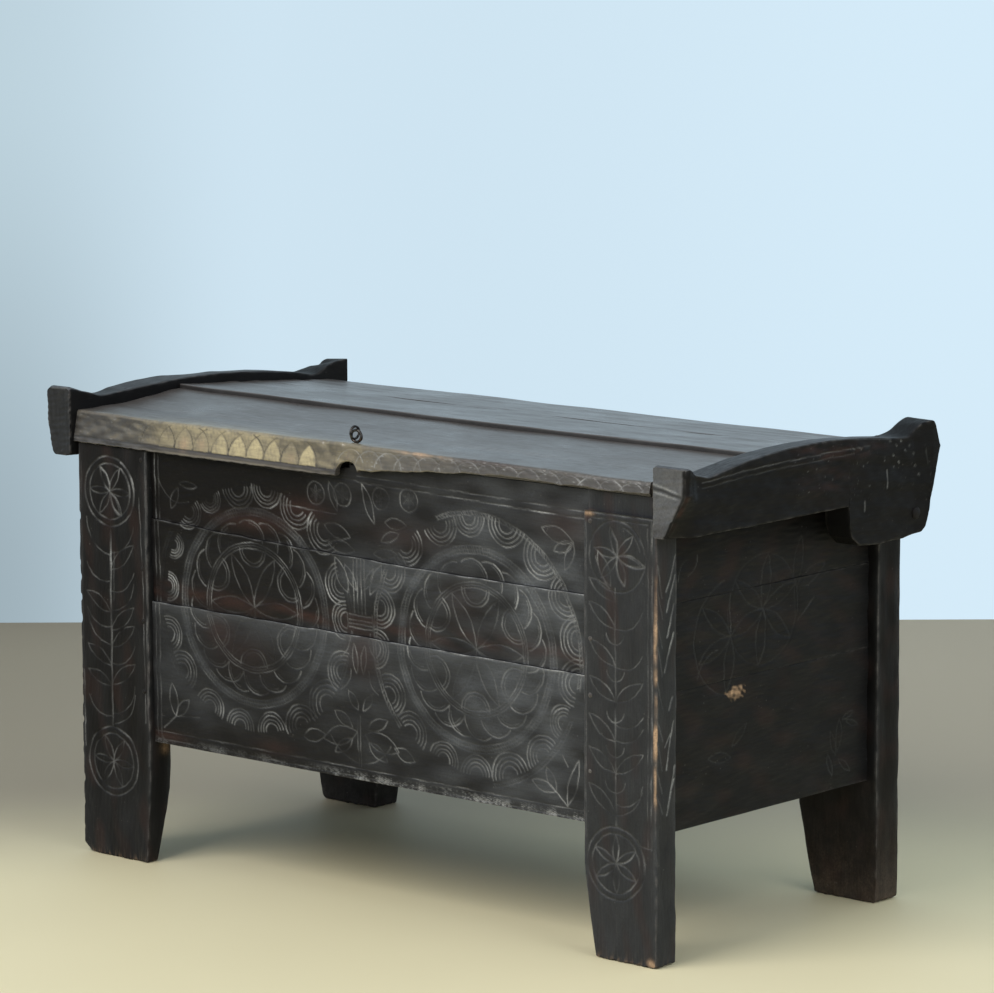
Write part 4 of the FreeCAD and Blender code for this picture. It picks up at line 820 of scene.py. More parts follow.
def shape_lid_front(material, read, depth):
    """Front lid board: a lip hangs before the front wall, and the top rises from a flat to the first joint."""
    left, lip_end, right = -CHEEK_IN + 0.3, CHEEK_IN - 18, CHEEK_IN - 0.3
    xs = np.concatenate([steps(left, -33, 2.0, 2.0), steps(-32.4, -24, 0.9, 0.5), steps(-23, 6, 1.8, 1.0),
                         steps(6.8, 16, 0.9, 0.5), steps(17.5, lip_end, 1.9, 2.0), steps(lip_end, right, 6.0, 1.0)])
    beyond = np.arange(len(xs)) >= len(xs) - len(steps(lip_end, right, 6.0, 1.0))
    low = lip_edge(xs) + 0.5 * hewn(71, xs, 0 * xs, 26, 26) + np.where(xs > 20, 0.8 * hewn(72, xs, 0 * xs, 60, 60), 0)
    lean = LIP_Y + 10 * share(low, LIP_LOW, LID_EDGE_Z)
    tenon = PANEL_Y - 2.5
    y0, z0 = np.where(beyond, tenon, lean), np.where(beyond, LID_UNDER, low)
    y1 = np.where(beyond, tenon, LIP_Y + 10)
    zb = np.where(beyond, LID_UNDER, low)
    one = np.ones_like(xs)
    dip = 0.8 * hewn(73, xs, 0 * xs, 240, 240)
    sag = lid_sag(xs)
    pairs = ((y0, z0), (y1, one * LID_EDGE_Z + dip), (one * -197.7, one * 722.4 + dip),
             (one * FIRST_JOINT_Y, one * STEP_TOP_Z - sag),
             (one * FIRST_JOINT_Y, one * STEP_FOOT_Z - sag), (one * LIP_BACK_Y, one * LID_UNDER),
             (one * LIP_BACK_Y, zb))
    corners = np.stack([np.stack(p, 1) for p in pairs], 1)
    ring, edge, near = rounded_outline(corners, (34, 20, 26, 3, 14, 3, 5), (2.2, 4.5, 14, 1.6, 1.6, 2, 2.2))
    x, y, z = xs[:, None] + 0 * ring[..., 0], ring[..., 0].copy(), ring[..., 1].copy()
    face, top = (edge == 0)[None, :], np.isin(edge, (1, 2))[None, :]
    cut, line = read(x, z)
    keep = (face & ~beyond[:, None])
    swell = hewn(74, x, y, 260, 60) * 0.6 + hewn(75, x, y, 90, 14) * 0.12
    z += np.where(top | (edge == -1)[None, :], swell, 0)
    ragged = hewn(76, x, z, 30, 8, 14)
    y += np.where(keep, cut * depth * 0.7 + 0.12 * ragged, 0)
    front_arris = np.exp(-np.hypot(y - (LIP_Y + 10), z - 722) / 4.5)
    chips = np.clip(hewn(77, x, 0 * x, 22, 22, 15) - 0.6, 0, 1)
    z -= front_arris * chips * 1.6
    y += front_arris * chips * 1.2
    left = share(x, -30, -60)
    patchy = np.clip(0.9 + 0.16 * hewn(79, x, z, 60, 30, 14) + 0.16 * hewn(87, x, z, 11, 9, 17), 0, 1)
    upper = share(z, 683, 686) * np.interp(x, [-600, -490, -440, -400, -200, -140, -60, -20, 20, 100, 260],
                                           [0.15, 0.25, 0.5, 0.8, 0.88, 0.7, 0.55, 0.6, 0.5, 0.25, 0.05])
    upper = upper * np.where(face, 0.75 + 0.25 * share(z, 708, 716),
                             np.exp(-np.clip(y - (LIP_Y + 6), 0, None) / 17) * (edge <= 1)[None, :])
    pale = np.maximum(lip_teeth(x, z) * 1.05 * face, upper) * patchy
    pale = np.maximum(pale, 0.3 * left * share(x, -470, -420) * np.exp(-((z - 674) / 1.6) ** 2) * patchy * face)
    raw = front_arris * np.exp(-((x - 140) / 42) ** 2) * np.clip(0.5 + hewn(80, x, z, 40, 20), 0, 1)
    raw = raw + spots(x, z, (-358, 690, 9, 9, 0.55), (-320, 692, 9, 8, 0.3), (-128, 690, 9, 7, 0.25)) * face
    raw = raw + 0.6 * np.exp(-np.hypot(x + 8, (z - 694)) / 7) * face * np.clip(0.3 + hewn(81, x, z, 8, 8), 0, 1)
    murk = np.interp(x, [-600, -450, -400, -350, -180, -130, -60, -10, 60, 600],
                     [0.9, 0.8, 0.5, 0.12, 0.12, 0.7, 0.75, 0.55, 0.3, 0.4])
    murk = murk * np.clip(0.75 + 0.5 * hewn(88, x, z, 34, 16, 15) + 0.4 * share(z, 700, 712) - 0.2, 0,
                          1) * (1 - lip_teeth(x, z)) * (z < 724)
    red = front_arris * share(x, 200, 235) * share(x, 370, 320) + 0.25 * keep * share(x, 20,
            200) * np.clip(hewn(82, x, z, 60, 14), 0, 1)
    # Grey bloom and painted sheen on the lip's face at its left end and to the right of the notch.
    bloom_and_sheen = 0.5 * face * share(x, -420, -470) * np.clip(0.6 + 0.5 * hewn(83, x, z, 18, 14), 0,
                                                       1) + 0.3 * keep * share(x, 0, 60)
    speck = np.clip(hewn(84, x, z, 13, 8, 19) - 0.8, 0, 1) * np.clip(hewn(85, x, z, 60, 25), 0,
            1) * (share(x, -400, -450) + share(x, -40, 20))
    rub = np.exp(-near / 2.6) * (0.3 + 0.3 * hewn(78, x, z, 18, 9)) * (edge <= 1)[None, :]
    right = share(x, -46, -30)
    points = np.stack([x, y, z], -1)
    # The dark mark: carved and ruled lines drawn dark left of the notch, darker places between the lip's arches (murk),
    # and painted shade on the board's underside and the back of its lip.
    marks = {"line": np.where(keep, np.maximum(line * right * (0.65 + 0.4 * hewn(86, x, z, 70, 30)), speck), 0).ravel(),
             "dark": np.where(keep, np.maximum(np.maximum(line * (1 - right), murk),
                                               0.85 * np.exp(-((z - 681) / 1.6) ** 2) * left),
                             0.55 * np.isin(edge, (4, 5))).ravel(),
             "rub": np.clip(rub, 0, 1).ravel(), "raw": np.clip(raw, 0, 1).ravel(), "pale": np.clip(pale, 0, 1).ravel(),
             "red": np.clip(red, 0, 1).ravel(), "bloom_and_sheen": np.clip(bloom_and_sheen, 0, 1).ravel()}
    return make_piece("lid_front_carved", points, skin(points), marks, "lid", material, ["lid_board_front"])


def shape_lid_plank(name, node, outline, radii, low_left, seed, material):
    """Lid board behind the front one: its cross-section carried between the cheeks, its top planed by hand and its
    rear edge lower by the given amount at the left end and higher by 0.4 of it in the middle."""
    xs = steps(-CHEEK_IN + 0.3, CHEEK_IN - 0.3, 4.0, 2.0)
    corners = np.repeat(np.asarray(outline, float)[None], len(xs), 0)
    corners[:, :, 1] -= lid_sag(xs)[:, None]
    corners[:, 1, 1] -= low_left * share(xs, -150, -CHEEK_IN) - 0.4 * low_left * (1 - (xs / CHEEK_IN) ** 2)
    ring, edge, near = rounded_outline(corners, (60, 4, 20, 6), radii)
    x, y, z = xs[:, None] + 0 * ring[..., 0], ring[..., 0].copy(), ring[..., 1].copy()
    top = (edge == 0)[None, :]
    z += np.where(top | (edge == -1)[None, :], hewn(seed + 1, x, y, 260, 60) * 0.6 + hewn(seed + 2, x, y, 90,
            14) * 0.1, 0)
    points = np.stack([x, y, z], -1)
    rub = 0.5 * np.exp(-near / 2.0) * (0.4 + 0.4 * hewn(seed + 3, x, y, 40, 12)) * (edge == 0)[None, :]
    # The dark mark is painted shade on the underside and on the front edge that stands up at the joint.
    marks = {"rub": np.clip(rub, 0, 1).ravel(), "dark": (np.array([0.0, 0.0, 0.55, 0.9, 0.0])[edge] + 0 * x).ravel()}
    return make_piece(name, points, skin(points), marks, "lid", material, [node])


CHEEK_LOWS = {  # lower edge of a cheek from the front to the tip of the rear horn, as places along Y and heights
    RIGHT: ((-310, 645), (97.6, 645), (100.2, 615.3), (108, 596.3), (124.6, 582.5), (169, 579), (235.6, 579.9),
            (278, 585),
            (288, 592.8), (312.9, 684.5), (320, 711)),
    LEFT: ((-310, 649), (97.6, 649), (100.4, 613.5), (108.9, 595.3), (127, 582.3), (170.6, 579), (236, 579.8),
           (281.9, 584.7),
           (291.6, 592), (327.9, 678.5), (343.5, 703)),
}
CHEEK_TOPS = {  # upper edge of its inner and of its outer face
    RIGHT: (((-310, 748), (-303, 752), (-290, 745.7), (-265, 735.6), (-238, 729.5), (-189, 736.5), (-140, 742),
             (-91, 745.9),
             (-42, 748.2), (7, 749), (57, 748), (106, 745.4), (135, 742.8), (160, 741), (185, 738.4), (211, 735.9),
             (223, 735),
             (236, 736.4), (249, 738.8), (261, 741.9), (274, 747.6), (287, 752.5), (299, 755.8), (310, 755),
             (316, 751), (320, 716)),
            ((-310, 748), (-303, 752), (-290, 745.7), (-265, 735.6), (-238, 729.5), (-189, 737.6), (-140, 743.9),
             (-91, 748.4),
             (-42, 751.1), (7, 752), (57, 751.1), (106, 748.4), (155, 743.9), (204, 737.6), (230, 735), (248, 735),
             (259, 741),
             (267, 746), (279, 753), (303, 755.5), (308, 752), (312, 744), (317, 725), (320, 713))),
    LEFT: (((-310, 757), (-306, 761), (-294, 756.3), (-281, 751.6), (-268, 748.5), (-254, 744.5), (-243, 741),
            (-225, 740),
            (-190, 742.5), (-134, 745.5), (-80, 748.3), (-35, 749.4), (10, 749), (47, 747.8), (85, 745.8), (121, 742.8),
            (150, 740), (178, 736.3), (193, 735), (230, 728.5), (255, 723.5), (267, 722.5), (276, 725), (290, 731.5),
            (305, 737.6),
            (318, 740.5), (347, 741.5)),
           ((-310, 755), (-305, 761), (-281, 748), (-268, 744), (-254, 741), (-237, 738.5), (-210, 737.4),
            (-196, 739.6),
            (-183, 743.4), (-169, 744.5), (-142, 747.1), (-114, 749.1), (-86, 750), (-59, 750.2), (-45, 749),
            (-10, 746.5),
            (25, 745.3), (54, 745.5), (82, 742.7), (111, 741.1), (139, 739.5), (168, 736.3), (197, 732.5), (226, 728.4),
            (256, 724.4), (271, 726.3), (285, 727.3), (300, 729.5), (315, 728), (324, 729), (334, 736), (347, 738))),
}
FLARE_FROM, FLARE_TO = 262, 302  # the cheeks' faces start and end to flare here, along Y
NOSE_Y = -309.5  # a cheek's front face lies before this
FLARES = {RIGHT: (15.0, 5.0, 21.0), LEFT: (5.0, 3.0, 7.0)}  # front flare, rear flare, how far the toe is set in


def cheek_top(side, y, u):
    """Height of a cheek's top at a share u from its inner to its outer face: each face's table is averaged over five
    places 2 mm apart."""
    inner, outer = (sum(np.interp(y + d, *np.array(table, float).T) for d in (-4, -2, 0, 2, 4)) / 5
                    for table in CHEEK_TOPS[side])
    return inner * (1 - u) + outer * u


def shape_cheek(side, material, read, depth):
    """Lid end piece on a lattice: each place along it has a lower edge and an upper one, arched between two horns;
    a point near a corner is drawn on to a circle round the inner rectangle, and the outer face flares to both ends.
    The right one is rounded by 9 mm between its outer face and its nose."""
    lower = np.array(CHEEK_LOWS[side], float)
    rear = lower[-1, 0]
    places = np.concatenate([steps(-310, -300, 1.2, 1.5), np.arange(-298, 95, 2.6), np.arange(96, 126, 1.0),
                             np.arange(128, rear - 34, 2.6), np.arange(rear - 33, rear - 0.6, 1.1), [rear]])
    across = steps(0, 1, 0.07, 0.08)
    up = steps(0, 1, 0.0155, 0.03)
    u, y, w, faces = shell(across, places, up)
    bottom = np.interp(y, lower[:, 0], lower[:, 1])
    top = np.maximum(cheek_top(side, y, u), bottom + 3)
    front_flare, rear_flare, toe = FLARES[side]
    z = bottom + w * (top - bottom)
    lift = share(z, 645, 710)
    outer = CHEEK_OUT + ease(share(y, -FLARE_FROM, -FLARE_TO)) * (front_flare * lift
            - toe * (1 - lift)) + rear_flare * share(y, FLARE_FROM, FLARE_TO)
    x = CHEEK_IN + 0.2 + u * (outer - CHEEK_IN - 0.2)
    r = 2.4 + 1.0 * hewn(90 + side, y, 0 * y, 50, 50) + (7.0 if side < 0 else 2.0) * share(y, -292, -309)
    r = np.minimum(r, np.maximum(top - bottom, 1.0) * 0.45)
    ix, iz = np.clip(x, CHEEK_IN + 0.2 + r, outer - r), np.clip(z, bottom + r, np.maximum(top - r, bottom + r))
    dx, dz = x - ix, z - iz
    reach = np.maximum(np.hypot(dx, dz), 1e-6)
    near_edge = (np.abs(dx) > 1e-6) & (np.abs(dz) > 1e-6)
    x, z = np.where(near_edge, ix + dx / reach * r, x), np.where(near_edge, iz + dz / reach * r, z)
    if side > 0:
        dx, dy = x - np.minimum(x, outer - 9), y - np.maximum(y, -301)
        reach = np.maximum(np.hypot(dx, dy), 1e-6)
        off = (dx > 1e-6) & (dy < -1e-6) & (reach > 9)
        x, y = np.where(off, x - dx + dx / reach * 9, x), np.where(off, y - dy + dy / reach * 9, y)
    seed = 95 + side
    on_face = u > 0.999
    cut, line = read(y, z)
    swell = hewn(seed, y, z, 120, 60) * 0.9 + hewn(seed + 1, y, z, 40, 12) * 0.3
    x = x + np.where(u > 0.97, swell - cut * depth * on_face, 0)
    nose = y < NOSE_Y
    scoop = np.where(y < -309.9, 1.0, 0) * np.clip(1 - ((u - 0.45) / 0.5) ** 2, 0,
                                                   1) * np.clip(1 - ((w - 0.55) / 0.5) ** 2, 0, 1)
    y = y + scoop * 2.5 + np.where(y < -309, 0.5 * hewn(seed + 2, x, z, 20, 14), 0)
    corner = np.minimum(np.minimum(1 - w, w) * np.maximum(top - bottom, 1), 60)
    sidewise = np.minimum(1 - u, u) * 46
    near = np.where(on_face | (u < 0.001), corner, sidewise)
    near = np.where(y < -307, np.minimum(corner, sidewise), np.minimum(near, y + 310))
    rub = np.exp(-near / 1.8) * (0.35 + 0.4 * hewn(seed + 3, y, z + x, 30, 14))
    in_face = x - CHEEK_IN
    fibre = hewn(seed + 5, x, z, 6, 60, 14)
    # On the right nose, two light gouge lines painted like the carved lines, and between them a dark line of painted
    # shade in the hollow.
    gouges = 0.9 * np.exp(-((z - 724 + 0.24 * in_face) / 1.5) ** 2) + 0.7 * np.exp(-((z - 712.6 + 0.17 * in_face)
            / 1.4) ** 2)
    gouges = gouges * nose * share(in_face, 48, 40) * (side > 0)
    gouge_shade = 0.9 * np.exp(-((z - 718.5 + 0.2 * in_face) / 2.6) ** 2) * nose * (side > 0)
    # Painted light on the cheeks: the nose's front face is painted lit, lighter upwards and most on the right cheek,
    # and the top of the arch gets painted sheen, strongest towards the front horn.
    arch = (w > 0.985) & (y < 205)
    lit = (0.55 + 0.65 * share(z, 655, 676)) if side > 0 else 0.3
    bloom_and_sheen = np.where(nose, lit * (0.9 + 0.16 * fibre), 0.02 + 0.01 * hewn(seed + 6, y, z, 90, 50))
    rub = rub + nose * (side > 0) * 0.45
    rub = rub + (side > 0) * (y < -305) * 1.1 * np.exp(-np.abs(x - outer + 9) / 2.2) * share(z, 672, 695)
    bloom_and_sheen = np.where(arch, 0.4 + 0.5 * share(y, -240, -270), bloom_and_sheen)
    red = spots(y, z, (100, 728, 80, 9, 0.8), (20, 742, 60, 7, 0.6), (-304, 690, 7, 22, 1.1),
                (40, 690, 60, 25, 0.35)) * on_face
    points = np.stack([side * x, y, z], -1)
    marks = {"line": np.where(on_face, line, 0) + gouges, "rub": np.clip(rub, 0, 1), "dark": gouge_shade,
             "bloom_and_sheen": np.clip(bloom_and_sheen, 0, 1), "red": np.clip(red * (0.6 + 0.5 * hewn(seed + 7, y, z, 40, 20)), 0, 1)}
    name = "lid_cheek_" + SIDE_NAME[side]
    return make_piece(name + "_hewn", points, faces, marks, "lid", material, [name], flat_ends=False)


def peg_rounds(places, radius, low, high, axis, seed):
    """Pegs side by side: round rods with a whittled outline and a domed end. The rod's radius wanders with the
    angle, and at the domed end it falls as the root of 1 - t^2."""
    loops, faces, start = [], [], 0
    along = np.concatenate([[low], np.linspace(low + 1, high - 2.0, 6),
                            high - 2.0 + 2.0 * np.sin(np.linspace(0.2, 1.5, 6))])
    fall = np.sqrt(np.clip(1 - (np.clip(along - (high - 2.0), 0, None) / 2.0) ** 2, 0.02, 1))
    turn = np.linspace(0, math.tau, 25)[:-1]
    for k, place in enumerate(places):
        shape = 1 + 0.05 * np.cos(3 * turn + seed + k) + 0.03 * np.cos(5 * turn + 2 * k)
        a = place[0] + radius * fall[:, None] * shape * np.cos(turn)
        b = place[1] + radius * fall[:, None] * shape * np.sin(turn)
        c = along[:, None] + 0 * a
        loop = np.stack({"y": (a, -c, b), "z": (a, b, c), "x": (c, a, b)}[axis], -1)
        loops.append(loop.reshape(-1, 3))
        faces += [face + start for face in skin(loop)]
        start += loop.shape[0] * loop.shape[1]
    return np.concatenate(loops), faces


def tube(path, radius, closed, sides=14):
    """Round wire along a path: at each point a circle of the given radius in the plane across the path, its first
    direction taken from a fixed one."""
    path = np.asarray(path, float)
    ahead = np.roll(path, -1, axis=0) - np.roll(path, 1, axis=0) if closed else np.gradient(path, axis=0)
    ahead /= np.linalg.norm(ahead, axis=1, keepdims=True)
    fixed = np.array([0.31, 0.27, 0.91])
    first = fixed - ahead * (ahead @ fixed)[:, None]
    first /= np.linalg.norm(first, axis=1, keepdims=True)
    second = np.cross(ahead, first)
    turn = np.linspace(0, math.tau, sides + 1)[:-1]
    radius = np.broadcast_to(radius, len(path))[:, None, None]
    loops = path[:, None] + radius * (first[:, None] * np.cos(turn)[None, :, None]
                                      + second[:, None] * np.sin(turn)[None, :, None])
    if not closed:
        return loops, skin(loops)
    index = np.arange(len(path) * sides).reshape(len(path), sides)
    onward, beside = np.roll(index, -1, axis=0), np.roll(index, -1, axis=1)
    both = np.roll(onward, -1, axis=1)
    return loops, [np.stack([index, beside, both, onward], -1).reshape(-1, 4)]


# Finishes

def sockets(tree, kind, values=None, **settings):
    """A node with its settings, and with values or other nodes' outputs put into its sockets."""
    node = tree.nodes.new(kind)
    for key, value in settings.items():
        setattr(node, key, value)
    for key, value in (values or {}).items():
        if isinstance(value, bpy.types.NodeSocket):
            tree.links.new(value, node.inputs[key])
        else:
            node.inputs[key].default_value = value
    return node


def sums(tree, operation, a, b=0.0, c=None, clamp=False):
    """One arithmetic step on two or three values."""
    values = {0: a, 1: b}
    if c is not None:
        values[2] = c
    return sockets(tree, "ShaderNodeMath", values, operation=operation, use_clamp=clamp).outputs[0]


def blend_colours(tree, factor, a, b):
    """Colour a at factor 0, colour b at factor 1."""
    return sockets(tree, "ShaderNodeMix", {0: factor, 6: a, 7: b}, data_type="RGBA").outputs[2]


def rise(tree, value, low, high):
    """A value spread from low..high to 0..1 and held there."""
    return sockets(tree, "ShaderNodeMapRange", {"Value": value, "From Min": low, "From Max": high}).outputs["Result"]


def new_group(name, inputs, outputs):
    """An empty node group with named float or vector sockets; gives the tree and its two end nodes."""
    tree = bpy.data.node_groups.new(name, "ShaderNodeTree")
    for label, kind, value in inputs:
        socket = tree.interface.new_socket(label, in_out="INPUT", socket_type=kind)
        if value is not None:
            socket.default_value = value
    for label, kind in outputs:
        tree.interface.new_socket(label, in_out="OUTPUT", socket_type=kind)
    return tree, tree.nodes.new("NodeGroupInput"), tree.nodes.new("NodeGroupOutput")


def group_grain():
    """Wood grain on a vector already stretched along the board: long streaks, fine fibres, broad clouds and the
    height of the fibres."""
    tree, given, out = new_group("Chest grain",
                                 [("Vector", "NodeSocketVector", None), ("Fineness", "NodeSocketFloat", 1.0)],
                                 [("Streaks", "NodeSocketFloat"), ("Fibres", "NodeSocketFloat"),
                                  ("Clouds", "NodeSocketFloat"), ("Height", "NodeSocketFloat")])
    vector = given.outputs["Vector"]
    streaks = sockets(tree, "ShaderNodeTexNoise", {"Vector": vector, "Scale": 1.0, "Detail": 6.0, "Roughness": 0.62,
                                                   "Distortion": 0.35}).outputs[0]
    finer = sums(tree, "MULTIPLY", given.outputs["Fineness"], 4.2)
    fibres = sockets(tree, "ShaderNodeTexNoise",
                     {"Vector": vector, "Scale": finer, "Detail": 5.0, "Roughness": 0.7}).outputs[0]
    clouds = sockets(tree, "ShaderNodeTexNoise",
                     {"Vector": vector, "Scale": 0.22, "Detail": 3.0, "Roughness": 0.5}).outputs[0]
    tree.links.new(rise(tree, streaks, 0.34, 0.66), out.inputs["Streaks"])
    tree.links.new(rise(tree, fibres, 0.36, 0.66), out.inputs["Fibres"])
    tree.links.new(rise(tree, clouds, 0.35, 0.65), out.inputs["Clouds"])
    height = sums(tree, "MULTIPLY_ADD", fibres, 0.55, sums(tree, "MULTIPLY", streaks, 0.45))
    tree.links.new(height, out.inputs["Height"])
    return tree


def group_wear_and_light():
    """Breaks a mark up with coarse and fine noise, so that it comes and goes: the marks of wear, and also the painted
    sheen, highlight and shade.
    """
    tree, given, out = new_group("Chest wear and light", [("Vector", "NodeSocketVector", None), ("Mark", "NodeSocketFloat", 0.0),
                                                ("Amount", "NodeSocketFloat", 1.0), ("Coarse", "NodeSocketFloat", 22.0),
                                                ("Broken", "NodeSocketFloat", 0.7)],
                                 [("Mask", "NodeSocketFloat")])
    coarse = sockets(tree, "ShaderNodeTexNoise", {"Vector": given.outputs["Vector"], "Scale": given.outputs["Coarse"],
                                                  "Detail": 3.0, "Roughness": 0.55}).outputs[0]
    fine = sockets(tree, "ShaderNodeTexNoise", {"Vector": given.outputs["Vector"], "Scale": 330.0, "Detail": 3.0,
                                                "Roughness": 0.6}).outputs[0]
    noise = sums(tree, "MULTIPLY", rise(tree, coarse, 0.3, 0.62), rise(tree, fine, 0.25, 0.6))
    whole = sums(tree, "SUBTRACT", 1.0, given.outputs["Broken"])
    strength = sums(tree, "MULTIPLY_ADD", noise, given.outputs["Broken"], whole)
    mask = sums(tree, "MULTIPLY", sums(tree, "MULTIPLY", given.outputs["Mark"], strength), given.outputs["Amount"],
                clamp=True)
    tree.links.new(mask, out.inputs["Mask"])
    return tree


def group_scuffs():
    """Scuffs: scattered pale specks and short scratches, and the dust that lies in hollows."""
    tree, given, out = new_group("Chest scuffs",
                                 [("Vector", "NodeSocketVector", None), ("Stretched", "NodeSocketVector", None)],
                                 [("Specks", "NodeSocketFloat"), ("Scratches", "NodeSocketFloat"),
                                  ("Patches", "NodeSocketFloat")])
    spots = sockets(tree, "ShaderNodeTexVoronoi", {"Vector": given.outputs["Vector"], "Scale": 95.0, "Randomness": 1.0})
    gate = sockets(tree, "ShaderNodeTexNoise",
                   {"Vector": given.outputs["Vector"], "Scale": 17.0, "Detail": 4.0}).outputs[0]
    specks = sums(tree, "MULTIPLY", rise(tree, spots.outputs["Distance"], 0.16, 0.06), rise(tree, gate, 0.56, 0.64))
    tree.links.new(specks, out.inputs["Specks"])
    lines = sockets(tree, "ShaderNodeTexNoise",
                    {"Vector": given.outputs["Stretched"], "Scale": 9.0, "Detail": 2.0}).outputs[0]
    scratches = sums(tree, "MULTIPLY", rise(tree, lines, 0.66, 0.72), rise(tree, gate, 0.45, 0.6))
    tree.links.new(scratches, out.inputs["Scratches"])
    patches = sockets(tree, "ShaderNodeTexNoise", {"Vector": given.outputs["Vector"], "Scale": 6.5, "Detail": 5.0,
                                                   "Roughness": 0.6}).outputs[0]
    tree.links.new(rise(tree, patches, 0.42, 0.68), out.inputs["Patches"])
    return tree


def group_named(name, make):
    """The shared group of that name, made the first time that it is asked for."""
    return bpy.data.node_groups.get(name) or make()


GRAIN_WAYS = {"x": (7.0, 75.0, 75.0), "y": (75.0, 7.0, 75.0), "z": (75.0, 75.0, 7.0)}


def paint_wood(name, way, tones, line_amount=1.0, rub_amount=0.8, gloss=(0.42, 0.62), specular=0.11, bump=0.06,
               specks=0.3,
               brown_amount=0.5):
    """Old dark wood in the tones by name: grain and clouds between dark and brown; over them the pale places, a grey
    bloom with painted sheen, the reddish places, rubbed arrises, specks, carved lines whose paleness is partly painted
    highlight, bare wood where it is chipped, and the dark mark, which holds dark lines and painted shade."""
    material = bpy.data.materials.get(name)
    if material:
        return material
    material = bpy.data.materials.new(name)
    material.use_nodes = True
    tree = material.node_tree
    tree.nodes.clear()
    place = sockets(tree, "ShaderNodeTexCoord").outputs["Object"]
    stretched = sockets(tree, "ShaderNodeMapping", {"Vector": place, "Scale": GRAIN_WAYS[way]}).outputs[0]
    grain = sockets(tree, "ShaderNodeGroup", node_tree=group_named("Chest grain", group_grain))
    tree.links.new(stretched, grain.inputs["Vector"])
    scuffs = sockets(tree, "ShaderNodeGroup", node_tree=group_named("Chest scuffs", group_scuffs))
    tree.links.new(place, scuffs.inputs["Vector"])
    tree.links.new(stretched, scuffs.inputs["Stretched"])
    chosen_dark = bpy.context.scene.chest_colours.dark

    def wear_and_light_mask(label, amount, coarse, broken):
        mark = sockets(tree, "ShaderNodeAttribute", attribute_name=label).outputs["Fac"]
        group = sockets(tree, "ShaderNodeGroup", {}, node_tree=group_named("Chest wear and light", group_wear_and_light))
        for key, value in (("Vector", place), ("Mark", mark)):
            tree.links.new(value, group.inputs[key])
        for key, value in (("Amount", amount), ("Coarse", coarse), ("Broken", broken)):
            group.inputs[key].default_value = value
        return group.outputs["Mask"]

    def fibrous(tone, least):
        """The tone, and a darker one along its fibres."""
        return blend_colours(tree, grain.outputs["Fibres"], (*tone, 1), (*[c * least for c in tone], 1))

    tone = sums(tree, "MULTIPLY_ADD", grain.outputs["Streaks"], 0.4,
                sums(tree, "MULTIPLY", grain.outputs["Clouds"], 0.2))
    tone = sums(tree, "MULTIPLY", sums(tree, "MULTIPLY_ADD", scuffs.outputs["Patches"], 0.25, tone), brown_amount,
                clamp=True)
    colour = blend_colours(tree, tone, (*tones["dark"], 1), (*tones["brown"], 1))
    if "lip" in tones:
        colour = blend_colours(tree, wear_and_light_mask("pale", 1.0, 40.0, 0.3), colour, fibrous(tones["lip"], 0.75))
    # Grey bloom and painted sheen.
    colour = blend_colours(tree, wear_and_light_mask("bloom_and_sheen", 1.0, 13.0, 0.3), colour, fibrous(tones["bloom_and_sheen"], 0.78))
    colour = blend_colours(tree, wear_and_light_mask("red", 1.0, 18.0, 0.5), colour, (*tones["red"], 1))
    colour = blend_colours(tree, wear_and_light_mask("rub", rub_amount, 30.0, 0.75), colour, (*tones["worn"], 1))
    speckle = sums(tree, "MULTIPLY", sums(tree, "ADD", scuffs.outputs["Specks"],
                                          sums(tree, "MULTIPLY", scuffs.outputs["Scratches"], 0.35)), specks,
                                          clamp=True)
    colour = blend_colours(tree, speckle, colour, (*tones["worn"], 1))
    # Carved lines: partly worn pale wood, partly painted highlight where light catches the cuts.
    colour = blend_colours(tree, wear_and_light_mask("line", line_amount, 24.0, 0.7), colour, (*tones["cut"], 1))
    raw = wear_and_light_mask("raw", 1.3, 60.0, 0.6)
    colour = blend_colours(tree, raw, colour, fibrous(tones["bare"], 0.6))
    # Dark mark: dark lines, and painted shade on undersides, risers and in a gouge.
    colour = blend_colours(tree, wear_and_light_mask("dark", 0.95, 40.0, 0.3), colour, (*[c * 2.4 for c in chosen_dark], 1))
    rough = sums(tree, "MULTIPLY_ADD", grain.outputs["Fibres"], gloss[1] - gloss[0], gloss[0])
    rough = sums(tree, "MULTIPLY_ADD", scuffs.outputs["Patches"], -0.08, rough)
    rough = sums(tree, "ADD", rough, sums(tree, "MULTIPLY", raw, 0.3), clamp=True)
    bumped = sockets(tree, "ShaderNodeBump", {"Strength": bump, "Distance": 0.002, "Height": grain.outputs["Height"]})
    shader = sockets(tree, "ShaderNodeBsdfPrincipled",
                     {"Base Color": colour, "Roughness": rough, "Normal": bumped.outputs[0],
                                                        "Specular IOR Level": specular})
    tree.links.new(shader.outputs[0], sockets(tree, "ShaderNodeOutputMaterial").inputs[0])
    return material


